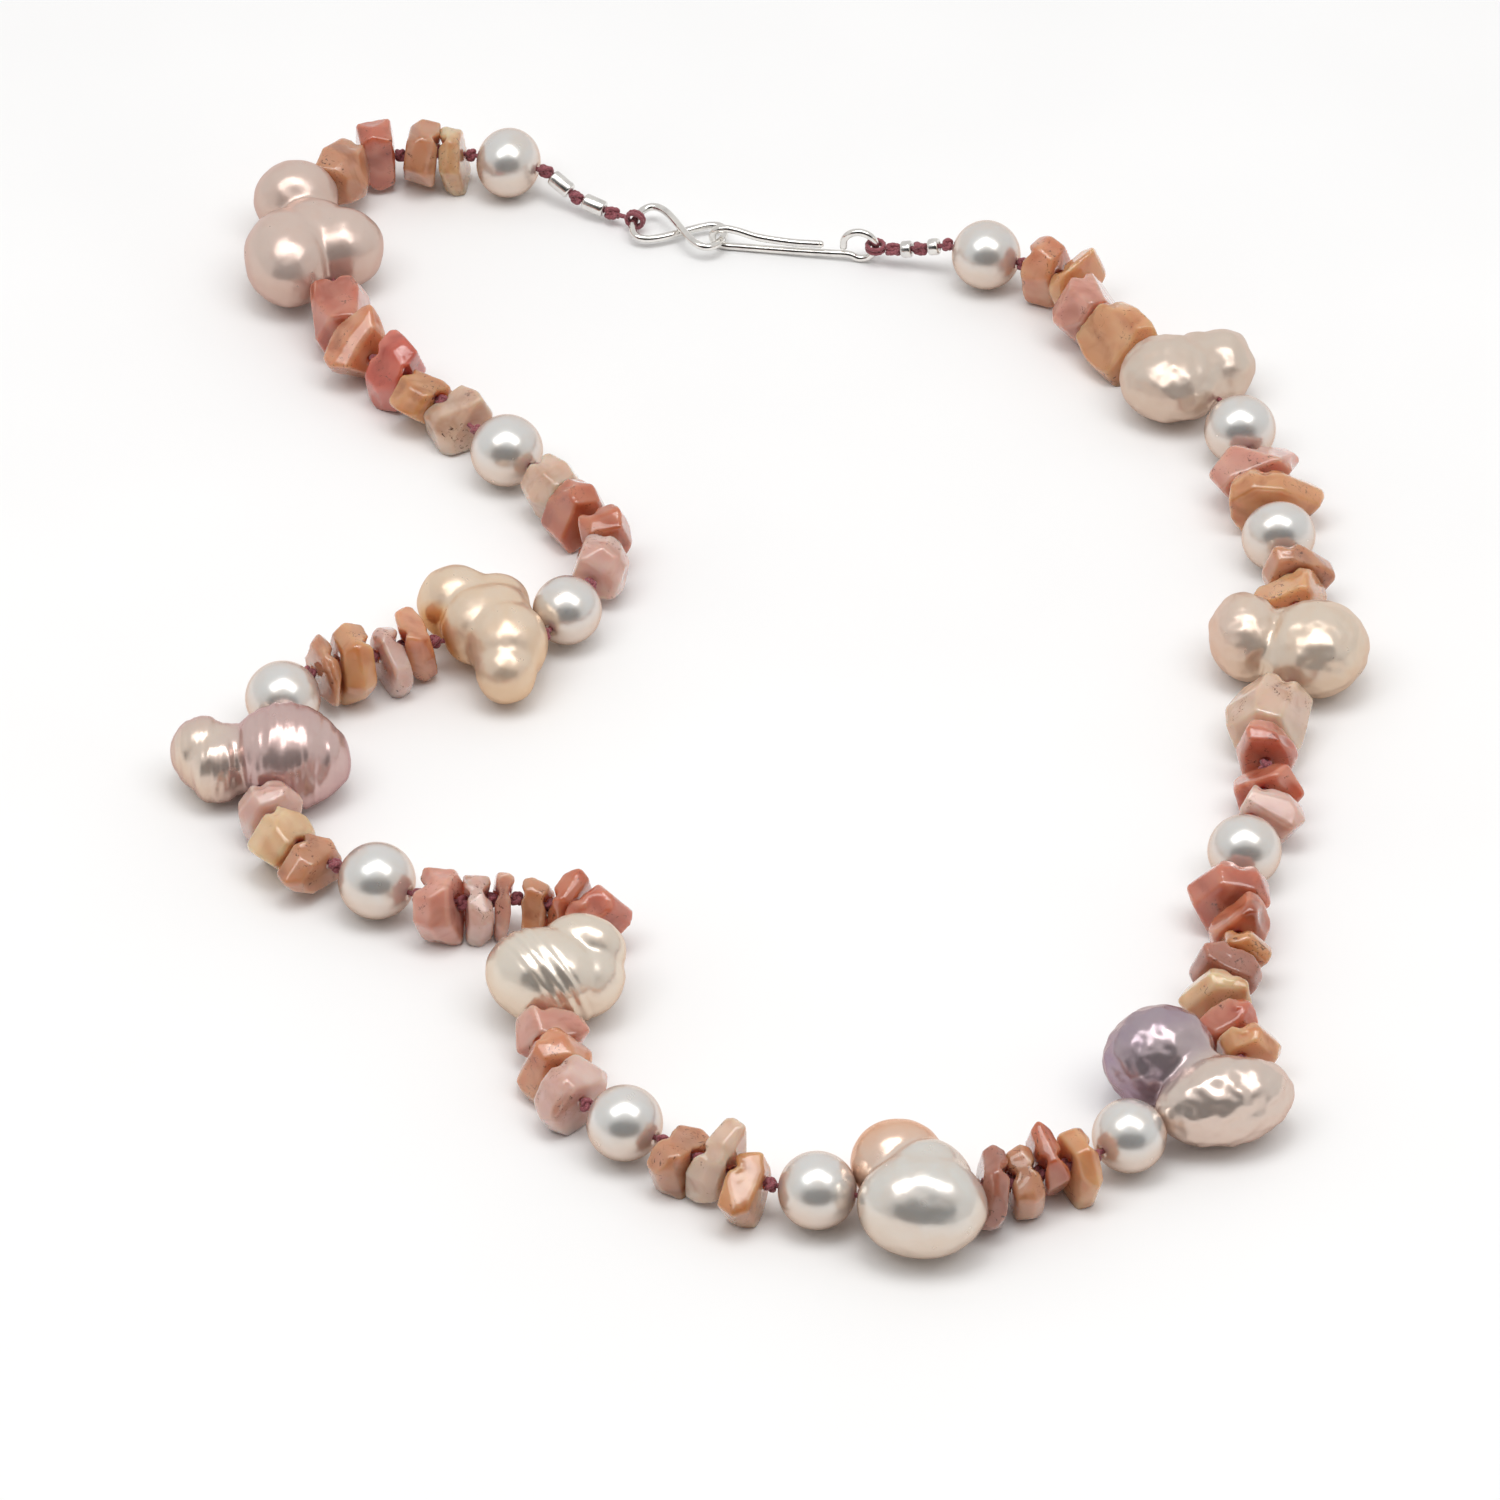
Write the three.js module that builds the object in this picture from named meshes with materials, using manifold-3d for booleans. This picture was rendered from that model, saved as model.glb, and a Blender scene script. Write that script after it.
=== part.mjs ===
// A necklace of white pearls, baroque pearls and tumbled pink opal chips, knotted on silk,
// with a silver figure-eight link and a long hook for a clasp. It lies open on a table.
// Millimetres, +Z up. The neck opening faces up, and the clasp is at the back (+Y).
import * as THREE from 'three';
import { ConvexGeometry } from 'three/addons/geometries/ConvexGeometry.js';
import { mergeVertices } from 'three/addons/utils/BufferGeometryUtils.js';
import Module from 'manifold-3d';

// Silk, and what is drilled for it.
const SILK_RADIUS = 0.25;
const KNOT_RADIUS = 0.55;
const DRILL_RADIUS = 0.6;
const SILK_SIDES = 6;
const DRILL_SIDES = 6;
const KNOT_GAP = 1.2; // room between two beads for the knot
const SILK_SHORTFALL = 0.9; // a section's silk stops this far short of its neighbour's knot
const CORD_HEIGHT = 4; // height of the drill holes above the table

// Tumbled chips: six corners round the silk, on three rings from face to face.
const CHIP_CORNERS = 6;
const CHIP_RINGS = [[-1, 0.84], [0.08, 1], [1, 0.8]]; // place from one face to the other, share of full reach
const CHIP_SLOPE = 0.34; // each face falls back at one side by this share of half the chip's length
const CHIP_SLOPE_TURN = 2.4; // radians that the low side turns from one face to the next
const CHIP_GAP = 0.3; // between chips of one group: their knot sits in a hollow
const CHIP_MARGIN = 0.15; // kept clear of the plane that halves the corner at each knot
const CHIP_WORN = 0.6; // a corner this near the table is worn flat and stands on it
const COLLAR_RADIUS = 1.1; // of the sleeve that joins the chips of one group

// Baroque pearls.
const DIMPLE_RADIUS = 1.2; // hollowed a little round each knot
const LOBE_CLEARANCE = 0.02; // between the table and the lowest point of a lobe

// Facets.
const PEARL_SEGMENTS = 12;
const PEARL_RINGS = 7;
const LOBE_DETAIL = 2;
const CORE_DETAIL = 1; // the last lobe of each baroque only fills the groove
const WIRE_SIDES = 8;

// Clasp, of round silver wire.
const WIRE_RADIUS = 0.42;
const LINK_HALF_LENGTH = 5.2;
const LINK_HALF_WIDTH = 2.5;
const LINK_CROSSING = 0.47; // each pass of the wire lies this far above or below the middle
const LINK_CENTRE = new THREE.Vector3(-8, 89.9, 1.64);
const LINK_TURN = THREE.MathUtils.degToRad(-19.5);
const LINK_STEPS = 36;
const HOOK_BEND = new THREE.Vector3(-4.2, 88.65, 0); // the outside of the bend, seen from above
const HOOK_TURN = THREE.MathUtils.degToRad(-8.5);
const HOOK_RING_RADIUS = 1.83;
const HOOK_RING_CENTRE = new THREE.Vector2(16.6, 2.26); // along the hook, and up
const HOOK_STEPS = 44;
const LOOP_RADIUS = 0.95; // the silk loop round each end of the clasp

// Silk knots and the beads between them, from the link round to the hook. A row is a bead and
// the knot that follows it: x, y, and the height where it isn't CORD_HEIGHT.
const FIRST_KNOT = [-15.5, 93, 1.5];
const pearl = (x, y, length, width) => ({ kind: 'pearl', knot: [x, y], length, width });
const silver = (x, y, z) => ({ kind: 'silver', knot: [x, y, z] });
const baroque = (x, y, lobes) => ({ kind: 'baroque', knot: [x, y], lobes });
// reach: from the silk to six corners, from the inside of the necklace up and over to the outside.
const chip = (x, y, tone, lean, swing, reach) => ({ kind: 'chip', knot: [x, y], tone, lean, swing, reach });
// A group is the chips that share one node. A section is the beads on one flexing length of silk.
const group = (...chips) => ({ kind: 'group', chips });

// A lobe of a baroque pearl: centre x, y, z, three radii, and a turn about Z in degrees.
const BAROQUES = {
  trefoil: [
    [-51.2, 91, 5, 4.7, 4.2, 4.6, 10], [-51.8, 80.2, 5.2, 4.6, 5.8, 5.1, -10], [-44.2, 82.4, 5, 4.2, 4.4, 4.6, 0],
    [-48.4, 84, 4.6, 4.6, 6.8, 4.4, 0]],
  three_bump: [
    [-30.8, 22.4, 4.8, 3.5, 3.9, 4.4, 0], [-28, 19.2, 4.9, 3.5, 4.1, 4.6, 20], [-25.4, 15, 4.9, 3.9, 4.2, 4.5, 0],
    [-25, 10.4, 3.9, 2.6, 2.8, 2.9, 0], [-27, 22.8, 4.3, 3.4, 3.6, 3.7, 0]],
  mauve_pair: [
    [-47.7, -1.6, 5.1, 5.9, 5.1, 5.1, 0], [-56.6, -1.6, 4.4, 4, 4.4, 4.4, 0], [-52.8, -1.6, 4.4, 3.4, 3.4, 3.6, 0]],
  spiral: [
    [-20.9, -34.6, 5.1, 5.9, 4.5, 5, -16], [-17, -32.3, 6.4, 4.8, 3.3, 4, -14], [-18.4, -33.8, 4.2, 4.4, 3.7, 4, 0]],
  peach_pair: [
    [14.5, -61.3, 4.5, 4.4, 4.2, 4.4, 0], [16.1, -66.3, 5.2, 5.8, 4.3, 5.1, -4], [15.6, -64, 4.6, 4.4, 4, 4.2, 0]],
  lavender_pair: [
    [40.2, -46.6, 5.4, 5.4, 4.9, 5.3, 20], [47.4, -52.2, 4.7, 6.9, 4.1, 4.6, 12], [43.8, -49.6, 4.6, 4.4, 4.4, 4.2, 0]],
  silver_pair: [
    [52.2, 16.6, 4.7, 4.4, 4.7, 4.6, 8], [59.6, 14.9, 5, 5.4, 5.3, 4.9, 30], [56, 15.4, 4.4, 4, 5.6, 4.2, 0]],
  bean: [
    [46.7, 60, 4.5, 5.6, 4.8, 4.3, -24], [51.2, 62.2, 4.3, 3.7, 3.8, 4, 0], [49, 61, 4.2, 4.4, 4, 3.9, -20]],
};

// Each section flexes on the next at the knot between them. Sections before the root own their
// first knot, and those after it own their last.
const ROOT_SECTION = 6;
const SECTIONS = [
  [
    silver(-19.5, 95, 2.2), silver(-23, 97.5, 4), pearl(-31.5, 100.5, 7.2, 7.9),
  ],
  [
    group(
      chip(-35, 101, 'cream', 0.1, 0, [4.2, 3.4, 3.2, 2.4, 4.2, 4.9]),
      chip(-39.5, 100.5, 'tan', -0.1, 0.1, [4.4, 3.8, 3.6, 2.8, 4.4, 4.9])),
    group(
      chip(-44.5, 99.5, 'salmon', 0.1, 0.1, [2.6, 3.6, 4.6, 3.6, 4.4, 3.6]),
      chip(-47.5, 93.5, 'mauve', 0, 0, [3.2, 3.8, 3.8, 2.6, 4.4, 4.6])),
    baroque(-46, 76, 'trefoil'),
    group(
      chip(-44, 67.5, 'salmon', 0, 0, [3.8, 3.8, 3.8, 4.2, 4.6, 4.6]),
      chip(-41, 63.5, 'peach', -0.2, -0.1, [3, 4.9, 2.6, 4.4, 4.9, 4.4])),
    group(
      chip(-37, 60, 'coral', 0.1, 0, [4.6, 4.6, 3.4, 2.8, 4.4, 4.2]),
      chip(-33.5, 56.5, 'tan', -0.1, 0, [3.6, 3.6, 3, 4.4, 4.9, 4.4]),
      chip(-29.5, 51.5, 'blush', 0, 0.1, [3.2, 3.6, 3.2, 3, 4.4, 4.4])),
  ],
  [
    pearl(-23, 45, 7.8, 7.9),
    group(
      chip(-19.5, 40.5, 'blush', 0.1, 0, [3, 2.8, 2.8, 3.2, 4.2, 4.2]),
      chip(-17, 36, 'coral', -0.1, 0.1, [2.6, 3, 3.8, 5.2, 5.4, 4.4])),
    group(
      chip(-15.5, 31.5, 'coral', 0.1, 0, [3.6, 4.4, 3.4, 2.8, 4.2, 4.4]),
      chip(-17, 26, 'pale', 0, -0.1, [3.2, 3.4, 3, 3.6, 4.5, 4.5])),
  ],
  [
    pearl(-21.5, 18, 7.4, 7.3),
    baroque(-33, 17, 'three_bump'),
    group(
      chip(-36.5, 16, 'salmon', 0.1, 0, [2.6, 4.4, 4.8, 4.2, 4.2, 3.8]),
      chip(-39.5, 14.5, 'pale', 0.05, -0.1, [5, 4.2, 2.6, 2.2, 4.2, 5.8])),
    group(
      chip(-43.5, 13, 'tan', 0, 0, [4.2, 4.8, 4, 3, 4.4, 4.9]),
      chip(-46, 12, 'peach', -0.1, -0.1, [4.9, 3.4, 3.8, 2.6, 3.4, 4.9])),
  ],
  [
    pearl(-51, 4, 7.8, 7.9),
    baroque(-50, -7, 'mauve_pair'),
    group(
      chip(-48.5, -11, 'pale', 0, 0.1, [4, 3.2, 2.6, 2.8, 4.5, 4.6]),
      chip(-45.5, -15, 'cream', 0.1, -0.1, [2.8, 2.8, 3.2, 4.6, 5.2, 4.4]),
      chip(-42, -17.5, 'tan', -0.1, 0.1, [2.2, 2.2, 2.8, 4.9, 5.4, 4.2])),
  ],
  [
    pearl(-33.5, -22, 7.9, 7.9),
    group(
      chip(-29, -23, 'pink', -0.1, 0, [3, 4.9, 4.4, 4.2, 4.9, 4.2]),
      chip(-26, -22.5, 'pale', 0.1, 0, [3, 4.6, 4, 3.4, 4.6, 4.2]),
      chip(-23.5, -22.5, 'pink', 0.1, 0, [2.8, 4.2, 3.6, 2.8, 4.4, 4.2])),
    group(
      chip(-20, -23.5, 'tan', -0.2, -0.1, [2.2, 2.4, 2.2, 3.2, 4.6, 4.2]),
      chip(-17, -24.5, 'coral', 0.1, 0.1, [3.6, 4.2, 3.2, 2.2, 3.6, 4.2]),
      chip(-15.5, -28.5, 'coral', 0, 0, [4.8, 4.2, 3.6, 2.8, 3.4, 4.4])),
    baroque(-20.5, -39, 'spiral'),
    group(
      chip(-20.5, -43.5, 'pink', 0.1, 0, [4.4, 3.4, 2.8, 3.9, 4.5, 4.6]),
      chip(-18.5, -48, 'peach', -0.1, 0.1, [3.8, 3, 2.8, 4.4, 4.8, 4.6]),
      chip(-16, -52, 'pink', 0.1, -0.1, [3.8, 3.2, 2.6, 4.4, 5, 4.4])),
  ],
  [
    pearl(-8.5, -57, 7.5, 7.6),
    group(
      chip(-5, -59.5, 'tan', -0.1, 0.1, [3, 3.6, 3.8, 3.6, 5, 4.2]),
      chip(-1.5, -61.5, 'cream', 0.2, 0.1, [3, 5.6, 3.4, 2.2, 4.3, 4.3]),
      chip(2, -63, 'tan', 0.05, 0, [2, 2.8, 3, 5, 5, 4.2])),
    pearl(11, -64.5, 7.7, 7.7),
    baroque(21.5, -63, 'peach_pair'),
    group(
      chip(25, -62.5, 'mauve', 0.1, 0.05, [2.6, 3.6, 4, 5, 5.2, 4.2]),
      chip(28, -61.5, 'tan', 0, 0, [2.6, 3.2, 2.8, 3.2, 4.4, 4.2]),
      chip(30.5, -60.5, 'coral', -0.1, 0, [4.6, 4.9, 3.6, 2.2, 3.2, 4.2]),
      chip(33.5, -59, 'peach', 0, 0, [3, 3.6, 3.6, 3.8, 4.9, 4.2])),
  ],
  [
    pearl(40.5, -53.5, 7.3, 7.4),
    baroque(48.5, -46, 'lavender_pair'),
    group(
      chip(48.5, -42.5, 'peach', 0, 0, [2.8, 2.8, 3.2, 4, 4.4, 4.2]),
      chip(48, -39, 'coral', 0.1, 0, [4.2, 3.8, 2.6, 2.2, 4.2, 4.4])),
    group(
      chip(47.5, -35.5, 'cream', 0, 0.1, [4.9, 3.8, 3.2, 3, 4.4, 4.9]),
      chip(48, -31.5, 'mauve', 0.1, 0, [3.9, 4.4, 4.2, 3.2, 4.4, 4.4])),
    group(
      chip(49, -28.5, 'tan', -0.1, 0, [2.2, 2.6, 3, 4.2, 4.6, 4.2]),
      chip(49, -24.5, 'coral', 0.1, -0.1, [2.8, 3.6, 4.2, 3.2, 4.3, 4.3]),
      chip(49.5, -19.5, 'pink', 0, 0.1, [4.9, 3.9, 3.6, 4.2, 4.6, 4.9])),
  ],
  [
    pearl(51, -11, 7.3, 7.6),
    group(
      chip(52.5, -7, 'pale', 0, 0, [2.6, 3.2, 3.8, 5, 4.8, 4.2]),
      chip(53, -2.5, 'salmon', 0.1, 0.1, [3.2, 2.8, 3.2, 4.4, 4.5, 4.3])),
    group(
      chip(53.5, 1.5, 'coral', -0.1, 0, [3, 4, 3.8, 3, 4.3, 4.3]),
      chip(55.5, 9, 'cream', 0, -0.1, [5, 3.8, 3.4, 4.5, 4.9, 4.9])),
    baroque(57.5, 22, 'silver_pair'),
    group(
      chip(57.5, 26.5, 'peach', 0.1, 0, [4.5, 3.4, 3, 4.4, 4.6, 4.6]),
      chip(57, 30, 'tan', 0, 0.1, [2.8, 3.6, 3.8, 5, 4.6, 4.2])),
  ],
  [
    pearl(55.5, 38, 6.9, 7.9),
    group(
      chip(55, 42.5, 'peach', 0, 0, [6, 3.6, 3.2, 6.1, 5.2, 5.2]),
      chip(54, 47.5, 'pink', 0.1, 0, [5, 4.4, 4, 4.9, 4.6, 4.6])),
    pearl(52, 56, 7.4, 7.8),
    baroque(43, 64, 'bean'),
    group(
      chip(39.5, 70.5, 'salmon', 0, 0.1, [5.2, 4.6, 4.2, 4.4, 4.6, 5.2]),
      chip(36.5, 75.5, 'pink', 0.1, 0, [5, 4.4, 3.8, 3, 4.3, 4.6])),
    group(
      chip(34.5, 78, 'coral', 0.2, 0.1, [2.4, 3.4, 5.6, 4.4, 3.4, 3.2]),
      chip(30.5, 80.5, 'peach', 0, 0, [3.4, 4.2, 4, 3.6, 4.4, 4.4])),
  ],
  [
    pearl(22, 84, 7.6, 7.7), silver(19, 84.6, 3.1), silver(16, 85.3, 2.3),
  ],
];

const TONES = {
  salmon: '#cf7c68', coral: '#c46a57', pink: '#d89a8b', blush: '#d9bfae', pale: '#e7c7bd', peach: '#dba27f',
  tan: '#c79a70', mauve: '#b98a80', cream: '#e3cda9',
};
const BAROQUE_TONES = {
  trefoil: '#e6cfc2', three_bump: '#efd9bf', mauve_pair: '#d8bdb4', spiral: '#ebe2d2', peach_pair: '#ece2d8',
  lavender_pair: '#ddd2d4', silver_pair: '#e9e0d4', bean: '#eadbd0',
};

const wasm = await Module();
wasm.setup();

function finish(colour, roughness, metalness = 0) {
  return new THREE.MeshStandardMaterial({ color: colour, roughness, metalness });
}

const SILK = () => finish('#8f4552', 0.85);
const SILVER = () => finish('#e4e4e2', 0.18, 1);

function toSolid(geometry) {
  const bare = geometry.index ? geometry.toNonIndexed() : geometry.clone();
  bare.deleteAttribute('normal');
  bare.deleteAttribute('uv');
  const merged = mergeVertices(bare, 1e-4);
  return new wasm.Manifold(new wasm.Mesh({
    numProp: 3,
    vertProperties: Float32Array.from(merged.attributes.position.array),
    triVerts: Uint32Array.from(merged.index.array),
  }));
}

function toGeometry(solid) {
  const mesh = solid.getMesh();
  const geometry = new THREE.BufferGeometry();
  geometry.setAttribute('position', new THREE.BufferAttribute(mesh.vertProperties, 3));
  geometry.setIndex(new THREE.BufferAttribute(mesh.triVerts, 1));
  geometry.computeVertexNormals();
  return geometry;
}

function namedMesh(name, geometry, material) {
  const mesh = new THREE.Mesh(geometry, material);
  mesh.name = name;
  return mesh;
}

// A path that is straight from point to point, with one ring of a tube's corners at each point.
class StraightRuns extends THREE.Curve {
  constructor(points) {
    super();
    this.points = points;
  }

  getPointAt(share) {
    const place = share * (this.points.length - 1);
    const run = Math.min(Math.floor(place), this.points.length - 2);
    return this.points[run].clone().lerp(this.points[run + 1], place - run);
  }

  getTangentAt(share) {
    const corner = Math.round(share * (this.points.length - 1));
    const before = this.points[Math.max(corner - 1, 0)];
    const after = this.points[Math.min(corner + 1, this.points.length - 1)];
    const here = this.points[corner];
    const tangent = new THREE.Vector3();
    if (corner > 0) tangent.add(here.clone().sub(before).normalize());
    if (corner < this.points.length - 1) tangent.add(after.clone().sub(here).normalize());
    return tangent.normalize();
  }
}

function ringShape(radius, sides) {
  const corners = Array.from({ length: sides }, (_, i) => {
    const angle = (2 * Math.PI * i) / sides;
    return new THREE.Vector2(radius * Math.cos(angle), radius * Math.sin(angle));
  });
  return new THREE.Shape(corners);
}

function tube(path, radius, sides, steps) {
  return new THREE.ExtrudeGeometry(ringShape(radius, sides), { steps, extrudePath: path, bevelEnabled: false });
}

function straightTube(points, radius, sides) {
  return tube(new StraightRuns(points), radius, sides, points.length - 1);
}

// A lathed pearl, drilled along Y: an oval from one mouth of the hole to the other, and the hole.
function pearlGeometry(length, width) {
  const mouth = Math.acos((2 * DRILL_RADIUS) / width);
  const profile = Array.from({ length: PEARL_RINGS + 1 }, (_, i) => {
    const angle = mouth * ((2 * i) / PEARL_RINGS - 1);
    return new THREE.Vector2((width / 2) * Math.cos(angle), (length / 2) * Math.sin(angle));
  });
  profile.push(profile[0].clone());
  return new THREE.LatheGeometry(profile, PEARL_SEGMENTS);
}

function silverBeadGeometry(length) {
  const profile = [[DRILL_RADIUS, -length / 2], [0.95, -length / 4], [0.95, length / 4], [DRILL_RADIUS, length / 2],
    [DRILL_RADIUS, -length / 2]].map(([radius, along]) => new THREE.Vector2(radius, along));
  return new THREE.LatheGeometry(profile, DRILL_SIDES);
}

// A drilled bead stands midway between its knots, with its hole in line with them.
function between(mesh, start, end) {
  mesh.position.copy(start).lerp(end, 0.5);
  mesh.quaternion.setFromUnitVectors(new THREE.Vector3(0, 1, 0), end.clone().sub(start).normalize());
  return mesh;
}

function lobeSolid([x, y, z, across, along, high, turn], place, lobes) {
  const geometry = new THREE.IcosahedronGeometry(1, place === lobes.length - 1 ? CORE_DETAIL : LOBE_DETAIL);
  geometry.scale(across, along, high);
  geometry.rotateZ(THREE.MathUtils.degToRad(turn));
  geometry.translate(x, y, Math.max(z, high + LOBE_CLEARANCE));
  return toSolid(geometry);
}

// A knot, or the hollow that it leaves: eight facets are enough at this size.
function knotSolid(centre, radius) {
  return toSolid(new THREE.OctahedronGeometry(radius, 0).translate(centre.x, centre.y, centre.z));
}

function drill(solid, route) {
  return solid.subtract(toSolid(straightTube(route, DRILL_RADIUS, DRILL_SIDES)));
}

// One chip: a hull of rings of corners, kept to its own side of the plane that halves the corner
// at each knot, and with a flat under it where it stands on the table. Gaps are left at its two ends.
function chipSolid(row, start, end, planes, gaps, order) {
  const along = end.clone().sub(start);
  const half = along.length() / 2;
  along.normalize();
  const inward = new THREE.Vector3(-along.y, along.x, 0).normalize();
  const centre = start.clone().lerp(end, 0.5);
  const points = [];
  for (const [place, share] of CHIP_RINGS) {
    const face = place < 0 ? 0 : 1;
    const lowSide = CHIP_SLOPE_TURN * (2 * order + face);
    row.reach.forEach((reach, corner) => {
      const angle = (2 * Math.PI * corner) / CHIP_CORNERS;
      const side = reach * share * Math.cos(angle);
      const up = reach * share * Math.sin(angle);
      const fall = CHIP_SLOPE * (0.5 + 0.5 * Math.cos(angle - lowSide));
      const forward = place * (half - gaps[face]) * (1 - fall) + row.lean * up + row.swing * side;
      const point = centre.clone().addScaledVector(along, forward).addScaledVector(inward, side);
      point.z += up;
      for (const { knot, normal } of planes) {
        const short = CHIP_MARGIN - point.clone().sub(knot).dot(normal);
        if (short > 0) point.addScaledVector(normal, short);
      }
      if (point.z < CHIP_WORN) point.z = 0;
      points.push(point);
    });
  }
  return toSolid(new ConvexGeometry(points));
}

// The silk's knots, one list for the whole strand, and the beads between them in the same order.
const rows = SECTIONS.flatMap((beads) => beads.flatMap((bead) => (bead.kind === 'group' ? bead.chips : [bead])));
const knots = [FIRST_KNOT, ...rows.map((row) => row.knot)]
  .map(([x, y, z = CORD_HEIGHT]) => new THREE.Vector3(x, y, z));
const runs = rows.map((_, i) => knots[i + 1].clone().sub(knots[i]).setZ(0).normalize());

// The two planes that a chip keeps between: each halves the corner at a knot and faces the chip.
function halvingPlanes(i) {
  const first = runs[Math.max(i - 1, 0)].clone().add(runs[i]).normalize();
  const last = runs[i].clone().add(runs[Math.min(i + 1, runs.length - 1)]).normalize();
  return [{ knot: knots[i], normal: first }, { knot: knots[i + 1], normal: last.negate() }];
}

const necklace = new THREE.Group();
const counts = { pearl: 0, silver: 0, baroque: 0, group: 0 };
const numbered = (base, kind) => `${base}_${String(counts[kind] += 1).padStart(2, '0')}`;

function pearlMesh(row, i) {
  const mesh = namedMesh(numbered('pearl', 'pearl'), pearlGeometry(row.length, row.width), finish('#ece4dc', 0.22));
  return between(mesh, knots[i], knots[i + 1]);
}

function silverMesh(i) {
  const length = knots[i].distanceTo(knots[i + 1]) - KNOT_GAP;
  const mesh = namedMesh(numbered('silver_bead', 'silver'), silverBeadGeometry(length), SILVER());
  return between(mesh, knots[i], knots[i + 1]);
}

function baroqueMesh(row, i) {
  const [first, ...others] = BAROQUES[row.lobes].map(lobeSolid);
  const whole = others.reduce((joined, lobe) => joined.add(lobe), first);
  const dimpled = whole.subtract(knotSolid(knots[i], DIMPLE_RADIUS)).subtract(knotSolid(knots[i + 1], DIMPLE_RADIUS));
  const drilled = drill(dimpled, [knots[i], knots[i + 1]]);
  return namedMesh(`baroque_${row.lobes}`, toGeometry(drilled), finish(BAROQUE_TONES[row.lobes], 0.2));
}

// Chips that share a node are joined by a sleeve from the middle of the first to that of the last.
function groupMesh(bead, i) {
  const route = knots.slice(i, i + bead.chips.length + 1);
  const last = route.length - 1;
  const pieces = bead.chips.map((row, step) => {
    const gaps = [step === 0 ? KNOT_GAP / 2 : CHIP_GAP / 2, step === last - 1 ? KNOT_GAP / 2 : CHIP_GAP / 2];
    return chipSolid(row, route[step], route[step + 1], halvingPlanes(i + step), gaps, i + step);
  });
  const sleeve = [
    route[0].clone().lerp(route[1], 0.5), ...route.slice(1, last), route[last].clone().lerp(route[last - 1], 0.5)];
  const joined = pieces.reduce(
    (whole, piece) => whole.add(piece), toSolid(straightTube(sleeve, COLLAR_RADIUS, DRILL_SIDES)));
  const drilled = drill(joined, route);
  return namedMesh(numbered('opal_chips', 'group'), toGeometry(drilled), finish(TONES[bead.chips[0].tone], 0.4));
}

// A section's silk: a thread from knot to knot, a knot wherever two nodes meet, and a loop round
// the clasp at the strand's two ends.
function silkMesh(section, own, stops) {
  const ownsFirst = section <= ROOT_SECTION;
  const ownsLast = section >= ROOT_SECTION;
  const points = own.map((knot) => knot.clone());
  const last = points.length - 1;
  if (!ownsFirst) points[0].lerp(points[1], SILK_SHORTFALL / points[0].distanceTo(points[1]));
  if (!ownsLast) points[last].lerp(points[last - 1], SILK_SHORTFALL / points[last].distanceTo(points[last - 1]));
  const loops = [];
  if (section === 0) {
    loops.push(clampLoop(LINK_EYE, true));
    points.unshift(stepTowards(LINK_EYE, points[0], LOOP_RADIUS));
  }
  if (section === SECTIONS.length - 1) {
    loops.push(clampLoop(HOOK_EYE, false));
    points.push(stepTowards(HOOK_EYE, points[last], LOOP_RADIUS));
  }
  let solid = toSolid(straightTube(points, SILK_RADIUS, SILK_SIDES));
  for (const loop of loops) solid = solid.add(loop);
  for (const stop of stops) {
    if (stop === 0 && !ownsFirst) continue;
    if (stop === own.length - 1 && !ownsLast) continue;
    solid = solid.add(knotSolid(own[stop], KNOT_RADIUS));
  }
  const name = `silk_${String(section + 1).padStart(2, '0')}`;
  return namedMesh(name, toGeometry(solid), SILK());
}

function stepTowards(from, to, distance) {
  return from.clone().lerp(to, distance / from.distanceTo(to));
}

// The silk's loop through the clasp: upright where the wire lies flat, and flat where it stands.
function clampLoop(centre, upright) {
  const ring = new THREE.TorusGeometry(LOOP_RADIUS, SILK_RADIUS, 6, 14);
  if (upright) ring.rotateX(Math.PI / 2).rotateZ(LINK_TURN);
  ring.translate(centre.x, centre.y, centre.z);
  return toSolid(ring);
}

// The figure-eight: a closed wire that crosses itself once, with a clear gap at the crossing. The
// pass from the left eye's back to the right eye's front is the upper one.
class FigureEight extends THREE.Curve {
  getPoint(share) { // share may run past either end of 0 to 1
    const angle = 2 * Math.PI * share;
    return new THREE.Vector3(
      LINK_HALF_LENGTH * Math.cos(angle),
      LINK_HALF_WIDTH * Math.sin(2 * angle),
      -LINK_CROSSING * Math.sin(angle),
    );
  }

  getTangent(share) {
    const step = 1e-4;
    return this.getPoint(share + step).sub(this.getPoint(share - step)).normalize();
  }
}

// A closed wire is a torus whose rings are moved onto the curve: each ring stands square to it.
function linkMesh() {
  const curve = new FigureEight();
  const geometry = new THREE.TorusGeometry(1, WIRE_RADIUS, WIRE_SIDES, LINK_STEPS);
  const vertices = geometry.attributes.position;
  for (let i = 0; i < vertices.count; i += 1) {
    const share = (i % (LINK_STEPS + 1)) / LINK_STEPS;
    const around = (2 * Math.PI * Math.floor(i / (LINK_STEPS + 1))) / WIRE_SIDES;
    const tangent = curve.getTangent(share % 1);
    const side = new THREE.Vector3(tangent.y, -tangent.x, 0).normalize();
    const up = side.clone().cross(tangent);
    const point = curve.getPoint(share % 1)
      .addScaledVector(side, WIRE_RADIUS * Math.cos(around))
      .addScaledVector(up, WIRE_RADIUS * Math.sin(around));
    vertices.setXYZ(i, point.x, point.y, point.z);
  }
  geometry.computeVertexNormals();
  const mesh = namedMesh('figure_eight_link', geometry, SILVER());
  mesh.position.copy(LINK_CENTRE);
  mesh.rotation.z = LINK_TURN;
  return mesh;
}

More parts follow.
